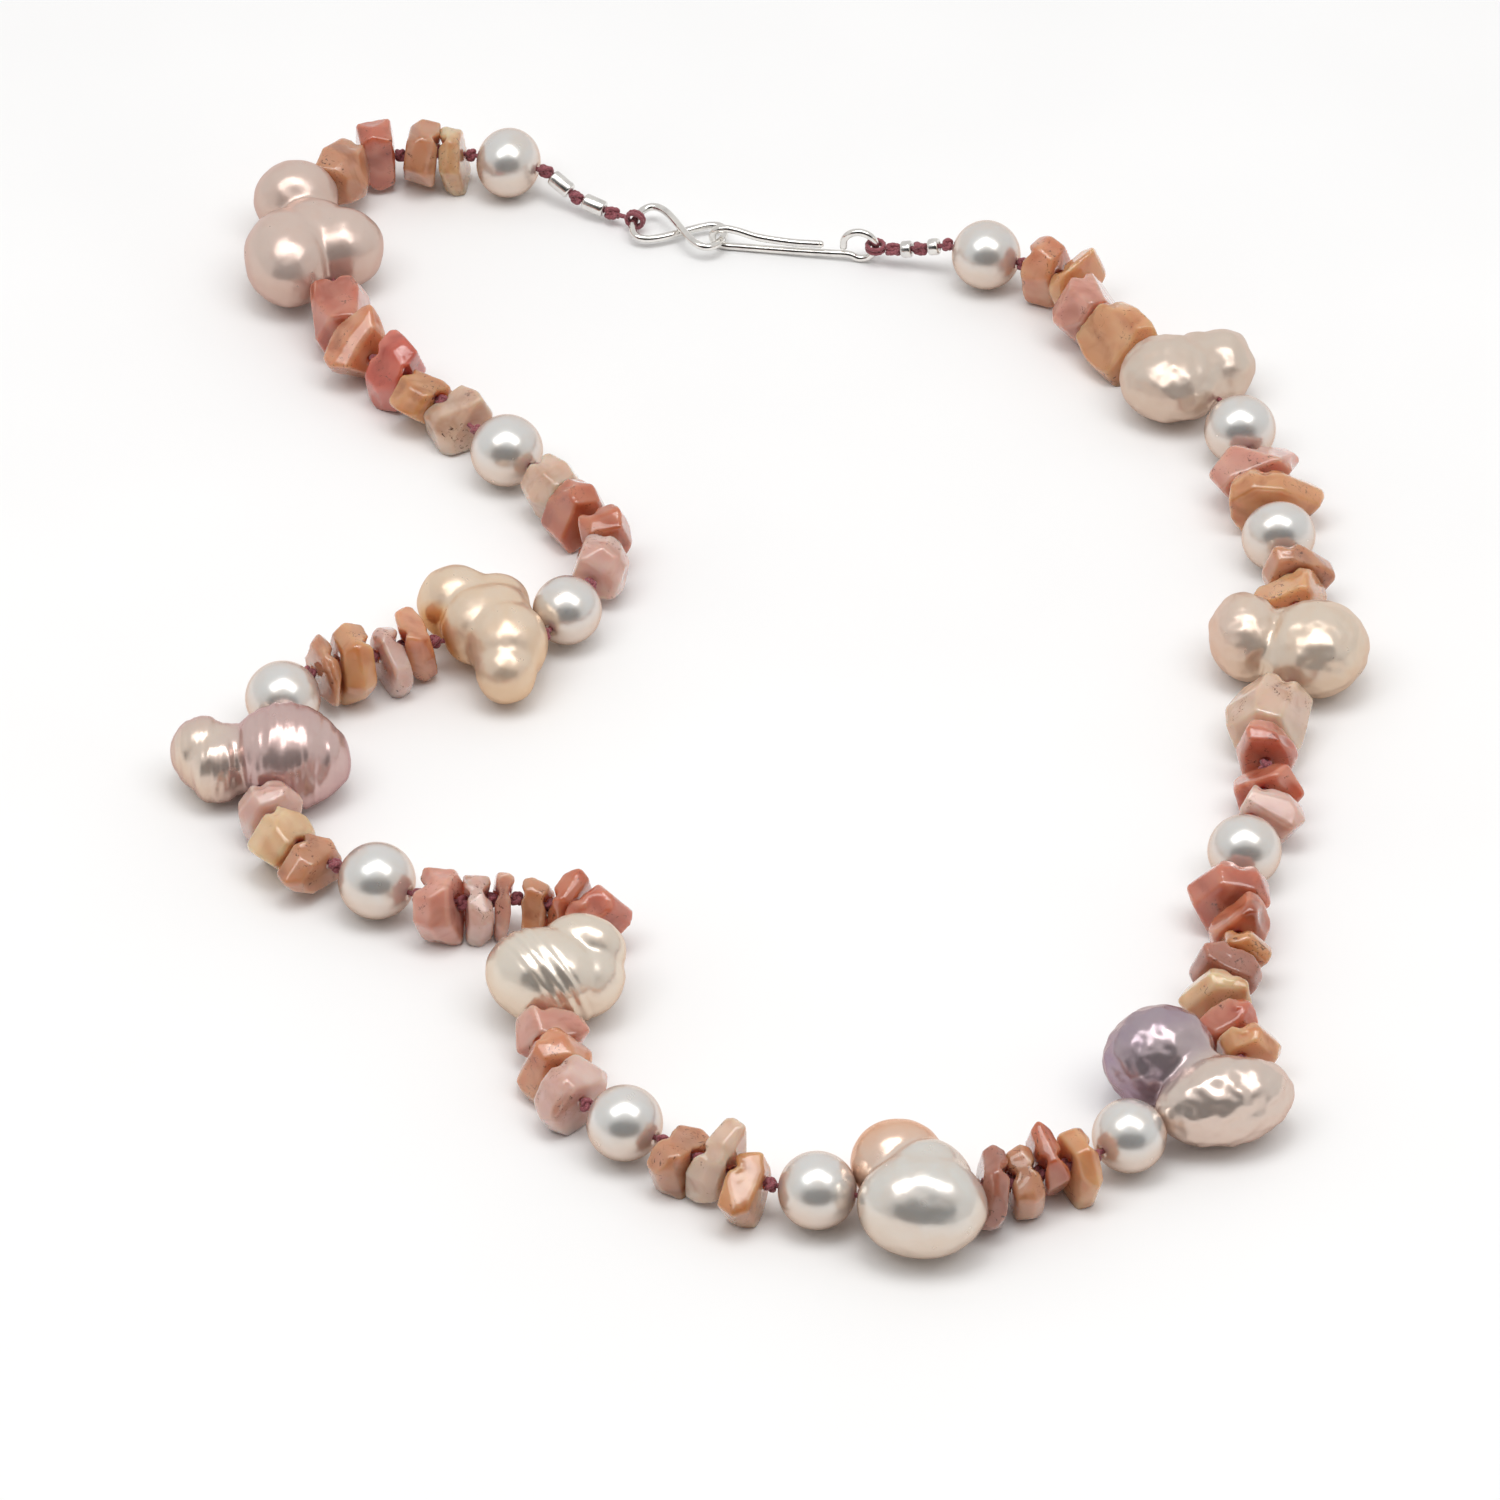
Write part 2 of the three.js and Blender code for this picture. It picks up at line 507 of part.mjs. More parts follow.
// The hook stands upright: tip, bend, shank, and a round eye whose end comes back to the shank.
function hookMesh() {
  const place = (along, up) => new THREE.Vector3(along, 0, up);
  const profile = [
    place(12.2, 1.9), place(9, 1.78), place(5, 2.1), place(2.6, 2.74), place(1.2, 2.83), place(0.3, 2.4),
    place(0, 1.6), place(0.3, 0.84), place(1.2, 0.46), place(3, 0.46), place(6, 0.52), place(10, 0.62), place(13.4, 0.77),
  ];
  const eyeStart = THREE.MathUtils.degToRad(232);
  const eyeTurn = THREE.MathUtils.degToRad(310);
  const eyeSteps = 9;
  for (let i = 0; i <= eyeSteps; i += 1) {
    const angle = eyeStart + (eyeTurn * i) / eyeSteps;
    profile.push(place(
      HOOK_RING_CENTRE.x + HOOK_RING_RADIUS * Math.cos(angle),
      HOOK_RING_CENTRE.y + HOOK_RING_RADIUS * Math.sin(angle),
    ));
  }
  const path = new THREE.CatmullRomCurve3(profile, false, 'centripetal');
  const mesh = namedMesh('clasp_hook', tube(path, WIRE_RADIUS, WIRE_SIDES, HOOK_STEPS), SILVER());
  mesh.position.copy(HOOK_BEND);
  mesh.rotation.z = HOOK_TURN;
  return mesh;
}

// Where the silk holds the clasp: the link's outer end, and the far side of the hook's eye.
const LINK_EYE = LINK_CENTRE.clone().add(
  new THREE.Vector3(-LINK_HALF_LENGTH, 0, 0).applyAxisAngle(new THREE.Vector3(0, 0, 1), LINK_TURN));
const HOOK_EYE = HOOK_BEND.clone().add(
  new THREE.Vector3(HOOK_RING_CENTRE.x + HOOK_RING_RADIUS, 0, HOOK_RING_CENTRE.y)
    .applyAxisAngle(new THREE.Vector3(0, 0, 1), HOOK_TURN));

let next = 0; // the knot before the next bead
SECTIONS.forEach((beads, section) => {
  const first = next;
  const stops = [0];
  for (const bead of beads) {
    if (bead.kind === 'pearl') necklace.add(pearlMesh(bead, next));
    if (bead.kind === 'silver') necklace.add(silverMesh(next));
    if (bead.kind === 'baroque') necklace.add(baroqueMesh(bead, next));
    if (bead.kind === 'group') necklace.add(groupMesh(bead, next));
    next += bead.kind === 'group' ? bead.chips.length : 1;
    stops.push(next - first);
  }
  necklace.add(silkMesh(section, knots.slice(first, next + 1), stops));
});
necklace.add(linkMesh());
necklace.add(hookMesh());

// The origin is under the middle of the necklace, on the table.
const box = new THREE.Box3().setFromObject(necklace, true);
const middle = box.getCenter(new THREE.Vector3());
necklace.position.set(-middle.x, -middle.y, -box.min.z);
necklace.updateMatrixWorld(true);

export default necklace;
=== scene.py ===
"""A knotted necklace of white pearls, baroque pearls and tumbled pink opal chips, with a silver hook
and figure-eight link, lying open on a white table. Lengths here are millimetres; build() makes metres.
"""

import math
import random

import bmesh
import bpy
import numpy as np
from mathutils import Euler, Matrix, Vector, noise


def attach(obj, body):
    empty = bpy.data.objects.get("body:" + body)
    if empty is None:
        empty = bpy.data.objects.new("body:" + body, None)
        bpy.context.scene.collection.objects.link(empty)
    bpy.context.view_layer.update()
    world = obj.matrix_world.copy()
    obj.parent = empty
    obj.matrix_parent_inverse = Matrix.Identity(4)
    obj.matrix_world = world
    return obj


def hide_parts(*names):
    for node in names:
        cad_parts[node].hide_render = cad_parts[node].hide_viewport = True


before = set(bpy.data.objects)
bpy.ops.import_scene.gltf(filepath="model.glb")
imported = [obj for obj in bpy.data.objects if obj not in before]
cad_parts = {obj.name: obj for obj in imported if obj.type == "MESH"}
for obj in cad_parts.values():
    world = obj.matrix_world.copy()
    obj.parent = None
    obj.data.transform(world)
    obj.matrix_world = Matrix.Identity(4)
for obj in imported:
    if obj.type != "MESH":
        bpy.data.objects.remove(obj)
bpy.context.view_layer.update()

METRES = 0.001
SHIFT = Vector((-2.198, -16.492, 0))  # from the layout's own origin to the middle of the necklace

# The silk.
THREAD_RADIUS = 0.27
THREAD_SIDES = 12
THREAD_STEP = 0.22  # between two rings of its skin
THREAD_PLIES = 3
THREAD_PITCH = 1.5
PLY_FLOOR = 0.72  # the bottom of the grooves between plies, in radii
PLY_RISE = 0.34  # from there to the top of a ply
PLY_ROUNDNESS = 0.7  # 1 is a sine, and less is fuller
KNOT_REACH = 0.84
KNOT_STRAND = 0.28
KNOT_LENGTHEN = 1.7  # along the silk, against its spread across it
LONG_KNOT = 1.9  # how much longer the knots near the strand's ends are
CORD_SIDES = 10  # of a knot's strand and of the loops round the clasp
CORD_PLIES = 2
CORD_PITCH = 1.0
CORD_HEIGHT = 4  # above the table
SILK_LOOP_RADIUS = 0.95
SILK_LOOP_RATIO = 0.92  # how thick its silk is, against the thread
SILK_LOOP_ASIDE = 0.24  # from the middle to each of its two turns

# Pearls.
NACRE_LUSTRE = 0.66  # of the round pearls
PEARL_SWELL = 0.012  # of its radius
PEARL_SWELL_SIZE = 1.3  # in radii
MOUTH_RADIUS = 0.9  # where a round pearl draws in, round its drill hole
MOUTH_DEPTH = 0.09  # of its half length
BAROQUE_VOXEL = 0.2
BAROQUE_DIMPLE = 0.3  # past the knot's reach
RING_FADE = 0.8  # at both ends of the ridges
TABLE_GAP = 0.02  # under the lowest lobe

# Silver tubes.
TUBE_RADIUS = 0.95
TUBE_BORE_RADIUS = 0.5
TUBE_CORNER = 0.32
TUBE_CORNER_STEPS = 6
TUBE_SIDES = 40
TUBE_ROOM = 1.9  # for knots, out of the length between a tube's two knots

# Chips.
CHIP_BORE_REACH = 1.3  # CAD corners this near the silk belong to the bore
CHIP_MARGIN = 0.05  # from its neighbours' planes to its own corners
CHIP_FULLER = 0.14  # along the silk, of its own length
CHIP_WIDER = 0.08  # across the silk
CHIP_FLATS = 4
CHIP_FLAT_DEPTH = (0.5, 0.95)  # where a flat is cut, on the way from the middle to the farthest corner
CHIP_LEAST = 1.7  # from its middle to any flat
SIDEWAYS = 0.6  # how much flats favour the sides over the ends
CHIP_ROUGH_VOXEL = 0.22
CHIP_FINE_VOXEL = 0.17
SCOOPS = 3
SCOOP_RADIUS = 6
SCOOP_DEPTH = (0.3, 0.7)
NOTCH_RADIUS = 0.88
NOTCH_LEAN = Vector((0, -0.4, 0.917))  # up and towards the front
CHIP_SWELL = 0.08
CHIP_WAVES = (0.14, 5)  # height and spacing
CHIP_FINE_WAVES = (0.02, 1.2)
CHIP_DIMPLE = 0.1  # past the knot's reach

# The clasp's wire.
WIRE_RADIUS = 0.43
WIRE_SIDES = 20
WIRE_END_RATIO = 0.99  # of the domes at its ends, against the wire
LINK_HALF_LENGTH = 5.2
LINK_HALF_WIDTH = 2.5
LINK_CROSSING = 0.53  # half the height between its two passes
LINK_CENTRE = Vector((-8, 89.9, 1.64))
LINK_TURN = math.radians(-19.5)
LINK_STEPS = 180
HOOK_BEND = Vector((-4.2, 88.65, 0))
HOOK_TURN = math.radians(-8.5)
HOOK_RING_RADIUS = 1.83
HOOK_RING_CENTRE = (16.6, 2.26)
HOOK_RING_START = 232  # degrees
HOOK_RING_SPAN = 320
HOOK_RING_STEPS = 9
HOOK_STEPS = 8  # between two points of its profile
HOOK_PROFILE = [  # how far from the bend and how high, from the free end to the ring
    (12.2, 1.9), (9, 1.78), (5, 2.1), (2.6, 2.74), (1.2, 2.83), (0.3, 2.4), (0, 1.6), (0.3, 0.84),
    (1.2, 0.46), (3, 0.46), (6, 0.52), (10, 0.62), (13.4, 0.77)]

# The strand, from the link round to the hook. A row is a bead and where the knot after it is, x and y. A
# pearl then has its length and width, a silver tube the height of that knot, a chip its colour, and a
# baroque pearl its name. Rows of one body are one list, and chips that share a CAD node are one inner list.
FIRST_KNOT = (-15.5, 93, 1.5)
STRAND = [
    [("silver", -19.5, 95, 2.2), ("silver", -23, 97.5, 4), ("pearl", -31.5, 100.5, 7.2, 7.9)],
    [
        [(-35, 101, "honey"), (-39.5, 100.5, "dusty")],
        [(-44.5, 99.5, "salmon"), (-47.5, 93.5, "dusty")],
        ("baroque", -46, 76, "trefoil"),
        [(-44, 67.5, "salmon"), (-41, 63.5, "peach")],
        [(-37, 60, "coral"), (-33.5, 56.5, "khaki"), (-29.5, 51.5, "blush")],
    ],
    [
        ("pearl", -23, 45, 7.8, 7.9),
        [(-19.5, 40.5, "blush"), (-17, 36, "brown")],
        [(-15.5, 31.5, "brown"), (-17, 26, "pale")],
    ],
    [
        ("pearl", -21.5, 18, 7.4, 7.3),
        ("baroque", -33, 17, "three_bump"),
        [(-36.5, 16, "peach"), (-39.5, 14.5, "pale")],
        [(-43.5, 13, "khaki"), (-46, 12, "dusty")],
    ],
    [
        ("pearl", -51, 4, 7.8, 7.9),
        ("baroque", -50, -7, "mauve_pair"),
        [(-48.5, -11, "pale"), (-45.5, -15, "honey"), (-42, -17.5, "dusty")],
    ],
    [
        ("pearl", -33.5, -22, 7.9, 7.9),
        [(-29, -23, "pink"), (-26, -22.5, "pale"), (-23.5, -22.5, "pink")],
        [(-20, -23.5, "dusty"), (-17, -24.5, "brown"), (-15.5, -28.5, "salmon")],
        ("baroque", -20.5, -39, "spiral"),
        [(-20.5, -43.5, "pink"), (-18.5, -48, "peach"), (-16, -52, "pale")],
    ],
    [
        ("pearl", -8.5, -57, 7.5, 7.6),
        [(-5, -59.5, "dusty"), (-1.5, -61.5, "blush"), (2, -63, "khaki")],
        ("pearl", 11, -64.5, 7.7, 7.7),
        ("baroque", 21.5, -63, "peach_pair"),
        [(25, -62.5, "mauve"), (28, -61.5, "dusty"), (30.5, -60.5, "brown"), (33.5, -59, "orange")],
    ],
    [
        ("pearl", 40.5, -53.5, 7.3, 7.4),
        ("baroque", 48.5, -46, "lavender_pair"),
        [(48.5, -42.5, "orange"), (48, -39, "salmon")],
        [(47.5, -35.5, "honey"), (48, -31.5, "mauve")],
        [(49, -28.5, "khaki"), (49, -24.5, "brown"), (49.5, -19.5, "salmon")],
    ],
    [
        ("pearl", 51, -11, 7.3, 7.6),
        [(52.5, -7, "pale"), (53, -2.5, "salmon")],
        [(53.5, 1.5, "salmon"), (55.5, 9, "blush")],
        ("baroque", 57.5, 22, "silver_pair"),
        [(57.5, 26.5, "orange"), (57, 30, "dusty")],
    ],
    [
        ("pearl", 55.5, 38, 6.9, 7.9),
        [(55, 42.5, "orange"), (54, 47.5, "pink")],
        ("pearl", 52, 56, 7.4, 7.8),
        ("baroque", 43, 64, "bean"),
        [(39.5, 70.5, "orange"), (36.5, 75.5, "pink")],
        [(34.5, 78, "orange"), (30.5, 80.5, "peach")],
    ],
    [("pearl", 22, 84, 7.6, 7.7), ("silver", 19, 84.6, 3.1), ("silver", 16, 85.3, 2.3)],
]

# Baroque pearls. A lobe is its centre x, y, z, three radii, and a turn about Z in degrees. Wrinkles are
# their height and their spacing along X, Y and Z. Rings are ridges round an axis: a point on it, its
# direction, from and to along it, their spacing and their height. Tints are a body colour and the overtone,
# which is painted on its sides and underside as a warm rim reflection, first of the whole pearl, then of a
# patch round a point: x, y, z and how far it reaches.
# A lustre of 1 is mirror-like. Soften is how many passes melt the lobes into each other.
BAROQUES = {
    "trefoil": {
        "lobes": [
            (-50.8, 91, 5, 4.8, 4.2, 4.6, 10), (-51.2, 80.2, 5.2, 4.9, 6.2, 5.1, 8),
            (-45.4, 82.2, 5, 4.8, 4.6, 4.6, 0), (-48.6, 83, 4.9, 5.2, 5.8, 4.8, 0)],
        "lustre": 0.5, "soften": 46, "wrinkles": (0.12, (2.8, 2.8, 2.8)),
        "tints": [((0.85, 0.77, 0.73), (0.84, 0.70, 0.64))]},
    "three_bump": {
        "lobes": [
            (-30.7, 22.2, 4.7, 4.4, 3.8, 4.4, -15), (-26.6, 22.4, 4.3, 3.6, 2.9, 3.8, 0),
            (-28.1, 18.6, 4.8, 4.4, 4.2, 4.5, 20), (-25.3, 15.4, 5, 4.3, 4.5, 4.6, 0),
            (-26.2, 19, 4.6, 3.8, 4.6, 4.4, 20), (-25.4, 12, 4.1, 3.3, 3.2, 3.6, 0)],
        "lustre": 0.5, "soften": 46, "wrinkles": (0.12, (2.6, 2.6, 2.6)),
        "tints": [
            ((0.90, 0.82, 0.74), (0.90, 0.75, 0.60)),
            ((0.90, 0.72, 0.50), (0.84, 0.58, 0.34), (-32, 18.6, 3.4), 3.6)]},
    "mauve_pair": {
        "lobes": [
            (-47.7, -1.7, 5.2, 5.7, 5.2, 5.1, 0), (-44.6, -1.9, 4.4, 3.6, 3.8, 4.2, 0),
            (-46.2, -3.6, 3.8, 3.8, 3.4, 3.6, 0), (-56.2, -0.9, 4.3, 3.6, 3.6, 4.1, 0),
            (-54.8, -3, 4.1, 3.3, 3.3, 3.9, 0), (-52.4, -1.4, 4.2, 3, 3.8, 3.8, 0)],
        "lustre": 0.66, "soften": 34, "wrinkles": (0.2, (1.1, 5, 5)),
        "tints": [
            ((0.83, 0.73, 0.71), (0.77, 0.62, 0.61)),
            ((0.88, 0.82, 0.77), (0.88, 0.76, 0.66), (-56.2, -2, 4), 5)]},
    "spiral": {
        "lobes": [
            (-20.4, -35, 5.2, 6.1, 4.8, 5.1, -16), (-16.6, -32.1, 6.3, 4.4, 3.2, 3.8, -14),
            (-17.8, -34.5, 4.6, 5.4, 4.6, 4.4, 0)],
        "lustre": 0.66, "soften": 20, "wrinkles": (0.08, (2.4, 2.4, 2.4)),
        "rings": [((-17, -32, 6.4), (-0.78, -0.5, -0.28), 2.6, 6.8, 1.2, 0.08)],
        "tints": [((0.91, 0.87, 0.82), (0.90, 0.80, 0.71))]},
    "peach_pair": {
        "lobes": [
            (14.4, -60.8, 4.8, 4.7, 4.2, 4.6, 0), (16.6, -67.2, 5.4, 6.4, 5, 5.3, -4),
            (17, -64.4, 5.2, 4.6, 4.4, 5, 0)],
        "lustre": 0.66, "soften": 40, "wrinkles": (0.1, (2.8, 2.8, 2.8)),
        "tints": [
            ((0.89, 0.88, 0.86), (0.89, 0.79, 0.71)),
            ((0.92, 0.75, 0.64), (0.91, 0.66, 0.52), (14, -58.6, 4.8), 5.8)]},
    "lavender_pair": {
        "lobes": [
            (40.2, -46.6, 5.4, 5.6, 4.9, 5.3, 20), (46.5, -52.3, 4.8, 7, 4.2, 4.7, 14),
            (43.4, -49.6, 4.4, 4, 4, 4.1, 0)],
        "lustre": 0.66, "soften": 20, "wrinkles": (0.24, (2.2, 2.2, 2.2)),
        "tints": [
            ((0.86, 0.80, 0.76), (0.88, 0.77, 0.71)),
            ((0.68, 0.62, 0.66), (0.58, 0.46, 0.60), (39.4, -45.6, 5.4), 6.6)]},
    "silver_pair": {
        "lobes": [
            (51.9, 16.8, 4.8, 3.9, 4.8, 4.7, 8), (59.1, 14.7, 5, 5.7, 5.4, 4.9, 30),
            (55.8, 15.2, 4.3, 3.2, 5, 4, 0)],
        "lustre": 0.5, "soften": 18, "wrinkles": (0.2, (2.2, 2.2, 2.2)),
        "tints": [
            ((0.88, 0.82, 0.76), (0.88, 0.75, 0.64)),
            ((0.87, 0.78, 0.73), (0.87, 0.71, 0.61), (51, 17, 4.8), 4.6)]},
    "bean": {
        "lobes": [
            (45.9, 59.8, 4.6, 5.8, 5.5, 4.5, -20), (51.4, 62.3, 4.3, 3.7, 4.4, 4.1, 0),
            (48.8, 61.2, 4.3, 4.4, 4.9, 4.1, -20)],
        "lustre": 0.48, "soften": 44, "wrinkles": (0.24, (2.4, 2.4, 2.4)),
        "tints": [((0.85, 0.79, 0.74), (0.86, 0.74, 0.66))]},
}

# Opal colours: the body, its bands, and its darker clouds, as seen in white light.
OPALS = {
    "salmon": ((0.78, 0.44, 0.34), (0.85, 0.58, 0.48), (0.64, 0.30, 0.21)),
    "coral": ((0.80, 0.37, 0.29), (0.87, 0.49, 0.40), (0.65, 0.25, 0.17)),
    "brown": ((0.74, 0.41, 0.28), (0.84, 0.55, 0.42), (0.56, 0.27, 0.16)),
    "pink": ((0.85, 0.61, 0.54), (0.91, 0.71, 0.64), (0.70, 0.43, 0.34)),
    "pale": ((0.86, 0.69, 0.64), (0.92, 0.80, 0.76), (0.76, 0.55, 0.46)),
    "blush": ((0.85, 0.73, 0.64), (0.92, 0.80, 0.72), (0.72, 0.54, 0.43)),
    "peach": ((0.82, 0.53, 0.37), (0.90, 0.67, 0.52), (0.67, 0.38, 0.23)),
    "orange": ((0.86, 0.62, 0.43), (0.91, 0.71, 0.53), (0.69, 0.42, 0.25)),
    "dusty": ((0.78, 0.55, 0.40), (0.84, 0.64, 0.52), (0.60, 0.38, 0.26)),
    "khaki": ((0.80, 0.55, 0.35), (0.89, 0.69, 0.50), (0.64, 0.39, 0.19)),
    "mauve": ((0.66, 0.43, 0.35), (0.76, 0.55, 0.48), (0.51, 0.30, 0.23)),
    "honey": ((0.85, 0.68, 0.51), (0.93, 0.80, 0.64), (0.75, 0.51, 0.34)),
}


# Materials ------------------------------------------------------------------------------------------

def linear(colour):
    """A colour as seen on screen, for a shader."""
    return tuple(c / 12.92 if c <= 0.04045 else ((c + 0.055) / 1.055) ** 2.4 for c in colour) + (1.0,)


class Nodes:
    """A new material with its shader, and short ways to add and join nodes."""

    def __init__(self, name):
        self.material = bpy.data.materials.new(name)
        self.material.use_nodes = True
        self.tree = self.material.node_tree
        self.shader = self.tree.nodes["Principled BSDF"]
        self.place = self.add("ShaderNodeTexCoord").outputs["Object"]

    def add(self, kind, values=None, **settings):
        node = self.tree.nodes.new(kind)
        for key, value in settings.items():
            setattr(node, key, value)
        for key, value in (values or {}).items():
            node.inputs[key].default_value = value
        return node

    def link(self, source, target):
        self.tree.links.new(source, target)

    def noise(self, size_mm, detail=3, rough=0.5, distortion=0.0):
        """Cloudy noise whose features are about size_mm across."""
        node = self.add("ShaderNodeTexNoise", {
            "Scale": 1 / (size_mm * METRES),
            "Detail": detail,
            "Roughness": rough,
            "Distortion": distortion})
        self.link(self.place, node.inputs["Vector"])
        return node.outputs["Fac"]

    def ramp(self, value, stops):
        """Colours along a value, from (position, colour) stops."""
        node = self.add("ShaderNodeValToRGB")
        elements = node.color_ramp.elements
        while len(elements) < len(stops):
            elements.new(0.5)
        for element, (position, colour) in zip(elements, stops):
            element.position = position
            element.color = colour if len(colour) == 4 else tuple(colour) + (1.0,)
        self.link(value, node.inputs["Fac"])
        return node.outputs["Color"]

    def grey_ramp(self, value, low, high):
        """0 below low and 1 above high."""
        return self.ramp(value, [(low, (0, 0, 0)), (high, (1, 1, 1))])

    def mix(self, factor, first, second):
        """The first colour at factor 0 and the second at 1."""
        node = self.add("ShaderNodeMix", data_type="RGBA")
        for socket, value in ((node.inputs[0], factor), (node.inputs[6], first), (node.inputs[7], second)):
            if isinstance(value, bpy.types.NodeSocket):
                self.link(value, socket)
            else:
                socket.default_value = value
        return node.outputs[2]

    def sum(self, first, second, share):
        """first + share * second."""
        node = self.add("ShaderNodeMath", {1: share}, operation="MULTIPLY_ADD")
        self.link(second, node.inputs[0])
        self.link(first, node.inputs[2])
        return node.outputs[0]

    def bump(self, height, depth_mm, strength):
        """Relief on the shader."""
        node = self.add("ShaderNodeBump", {"Strength": strength, "Distance": depth_mm * METRES})
        self.link(height, node.inputs["Height"])
        self.link(node.outputs["Normal"], self.shader.inputs["Normal"])

    def range(self, value, low, high):
        """0 to 1 stretched to low to high."""
        node = self.add("ShaderNodeMapRange", {"To Min": low, "To Max": high})
        self.link(value, node.inputs["Value"])
        return node.outputs["Result"]

    def patch(self, point, reach_mm):
        """1 near a point of the layout and 0 beyond its reach, with a soft edge."""
        away = self.add("ShaderNodeVectorMath", {1: (Vector(point) + SHIFT) * METRES}, operation="DISTANCE")
        self.link(self.place, away.inputs[0])
        return self.ramp(
            self.range(away.outputs["Value"], 0.0, 1 / (2 * reach_mm * METRES)),
            [(0.4, (1, 1, 1)), (0.6, (0, 0, 0))])


def nacre_material(name, tints, lustre, wrinkled):
    """Nacre: layered lustre over a milky body with faint clouds of overtone, and the overtone painted on
    its sides and underside as a warm rim reflection.
    """
    n = Nodes(name)
    shader = n.shader.inputs
    facing = n.add("ShaderNodeSeparateXYZ")
    n.link(n.add("ShaderNodeTexCoord").outputs["Normal"], facing.inputs[0])
    # painted warm rim reflection: the overtone laid into the base colour on the sides and underside, where
    # the normal's Z is low
    painted_rim_reflection = n.ramp(facing.outputs["Z"], [(0.0, (0.6, 0.6, 0.6)), (0.6, (0, 0, 0))])
    clouds = n.grey_ramp(n.noise(3.2, 2, 0.5, 0.6), 0.42, 0.7)
    colour = None
    for body, overtone, *patch in tints:
        blushed = tuple((3 * b + o) / 4 for b, o in zip(body, overtone))
        tinted = n.mix(painted_rim_reflection, n.mix(clouds, linear(body), linear(blushed)), linear(overtone))
        colour = n.mix(n.patch(*patch), colour, tinted) if patch else tinted
    n.link(colour, shader["Base Color"])
    shader["Metallic"].default_value = lustre
    satin = 0.38 - 0.27 * lustre  # brighter nacre is smoother too
    n.link(n.range(n.noise(1.6, 3), satin, satin + 0.1), shader["Roughness"])
    shader["IOR"].default_value = 1.6
    shader["Specular Tint"].default_value = linear(tints[0][1])
    shader["Subsurface Weight"].default_value = 0.12
    shader["Subsurface Radius"].default_value = (0.0012, 0.0008, 0.0006)
    shader["Subsurface Scale"].default_value = 1.0
    shader["Coat Weight"].default_value = 0.3
    shader["Coat Roughness"].default_value = 0.16
    shader["Coat IOR"].default_value = 1.5
    shader["Thin Film Thickness"].default_value = 420 if wrinkled else 360
    shader["Thin Film IOR"].default_value = 1.45
    dents = n.sum(n.noise(1.6, 1, 0.4, 0.4), n.noise(0.5, 1), 0.02)
    n.bump(dents, 0.08 if wrinkled else 0.03, 0.5)
    return n.material


def opal_material(tone):
    """Tumbled opal: soft bands and clouds in a slightly see-through body, with dark fern-like specks."""
    body, light, dark = OPALS[tone]
    n = Nodes(f"opal_{tone}")
    shader = n.shader.inputs
    wave = n.add("ShaderNodeTexWave", {
        "Scale": 110.0, "Distortion": 7.0, "Detail": 2.0, "Detail Scale": 1.2, "Detail Roughness": 0.5},
        bands_direction="DIAGONAL")
    n.link(n.place, wave.inputs["Vector"])
    banded = n.mix(n.range(wave.outputs["Fac"], 0.0, 0.55), linear(body), linear(light))
    clouded = n.mix(n.grey_ramp(n.noise(3.4, 3, 0.5, 0.6), 0.5, 0.8), banded, linear(dark))
    milky = n.mix(n.grey_ramp(n.noise(4.6, 2), 0.54, 0.74), clouded, linear(light))
    specks = n.add("ShaderNodeMath", operation="MULTIPLY")
    n.link(n.grey_ramp(n.noise(0.9, 6, 0.75, 1.8), 0.57, 0.63), specks.inputs[0])
    n.link(n.grey_ramp(n.noise(4.0, 1), 0.52, 0.6), specks.inputs[1])
    n.link(n.mix(specks.outputs[0], milky, linear((0.36, 0.22, 0.16))), shader["Base Color"])
    n.link(n.range(n.noise(1.6, 3, 0.6), 0.12, 0.26), shader["Roughness"])
    shader["IOR"].default_value = 1.46
    shader["Subsurface Weight"].default_value = 0.85
    shader["Subsurface Radius"].default_value = (0.0036, 0.002, 0.0013)
    shader["Subsurface Scale"].default_value = 1.0
    shader["Transmission Weight"].default_value = 0.22
    shader["Coat Weight"].default_value = 1.0
    shader["Coat Roughness"].default_value = 0.05
    n.bump(n.sum(n.noise(1.2, 3, 0.5, 0.3), n.noise(0.3, 3, 0.6), 0.2), 0.04, 0.5)
    return n.material


def silk_material():
    """Dyed silk: a soft sheen, and fine fibres in uneven colour."""
    n = Nodes("silk_burgundy")
    shader = n.shader.inputs
    fibres = n.noise(0.16, 4, 0.7)
    colour = n.mix(n.grey_ramp(fibres, 0.35, 0.7), linear((0.43, 0.17, 0.21)), linear((0.72, 0.42, 0.45)))
    n.link(colour, shader["Base Color"])
    n.link(n.range(fibres, 0.5, 0.72), shader["Roughness"])
    shader["Sheen Weight"].default_value = 0.5
    shader["Sheen Roughness"].default_value = 0.35
    n.bump(fibres, 0.06, 0.8)
    return n.material


def silver_material(name, roughness):
    """Hand-polished silver: fine scratches, soft dents, and uneven polish."""
    n = Nodes(name)
    shader = n.shader.inputs
    clouds = n.noise(1.4, 3)
    colour = n.mix(n.grey_ramp(clouds, 0.35, 0.75), linear((0.95, 0.94, 0.92)), linear((0.86, 0.85, 0.84)))
    n.link(colour, shader["Base Color"])
    shader["Metallic"].default_value = 1.0
    n.link(n.range(n.noise(0.4, 5, 0.7), roughness * 0.7, roughness * 1.5), shader["Roughness"])
    n.bump(n.sum(n.noise(0.9, 2), n.noise(0.12, 3), 0.1), 0.05, 0.5)
    return n.material
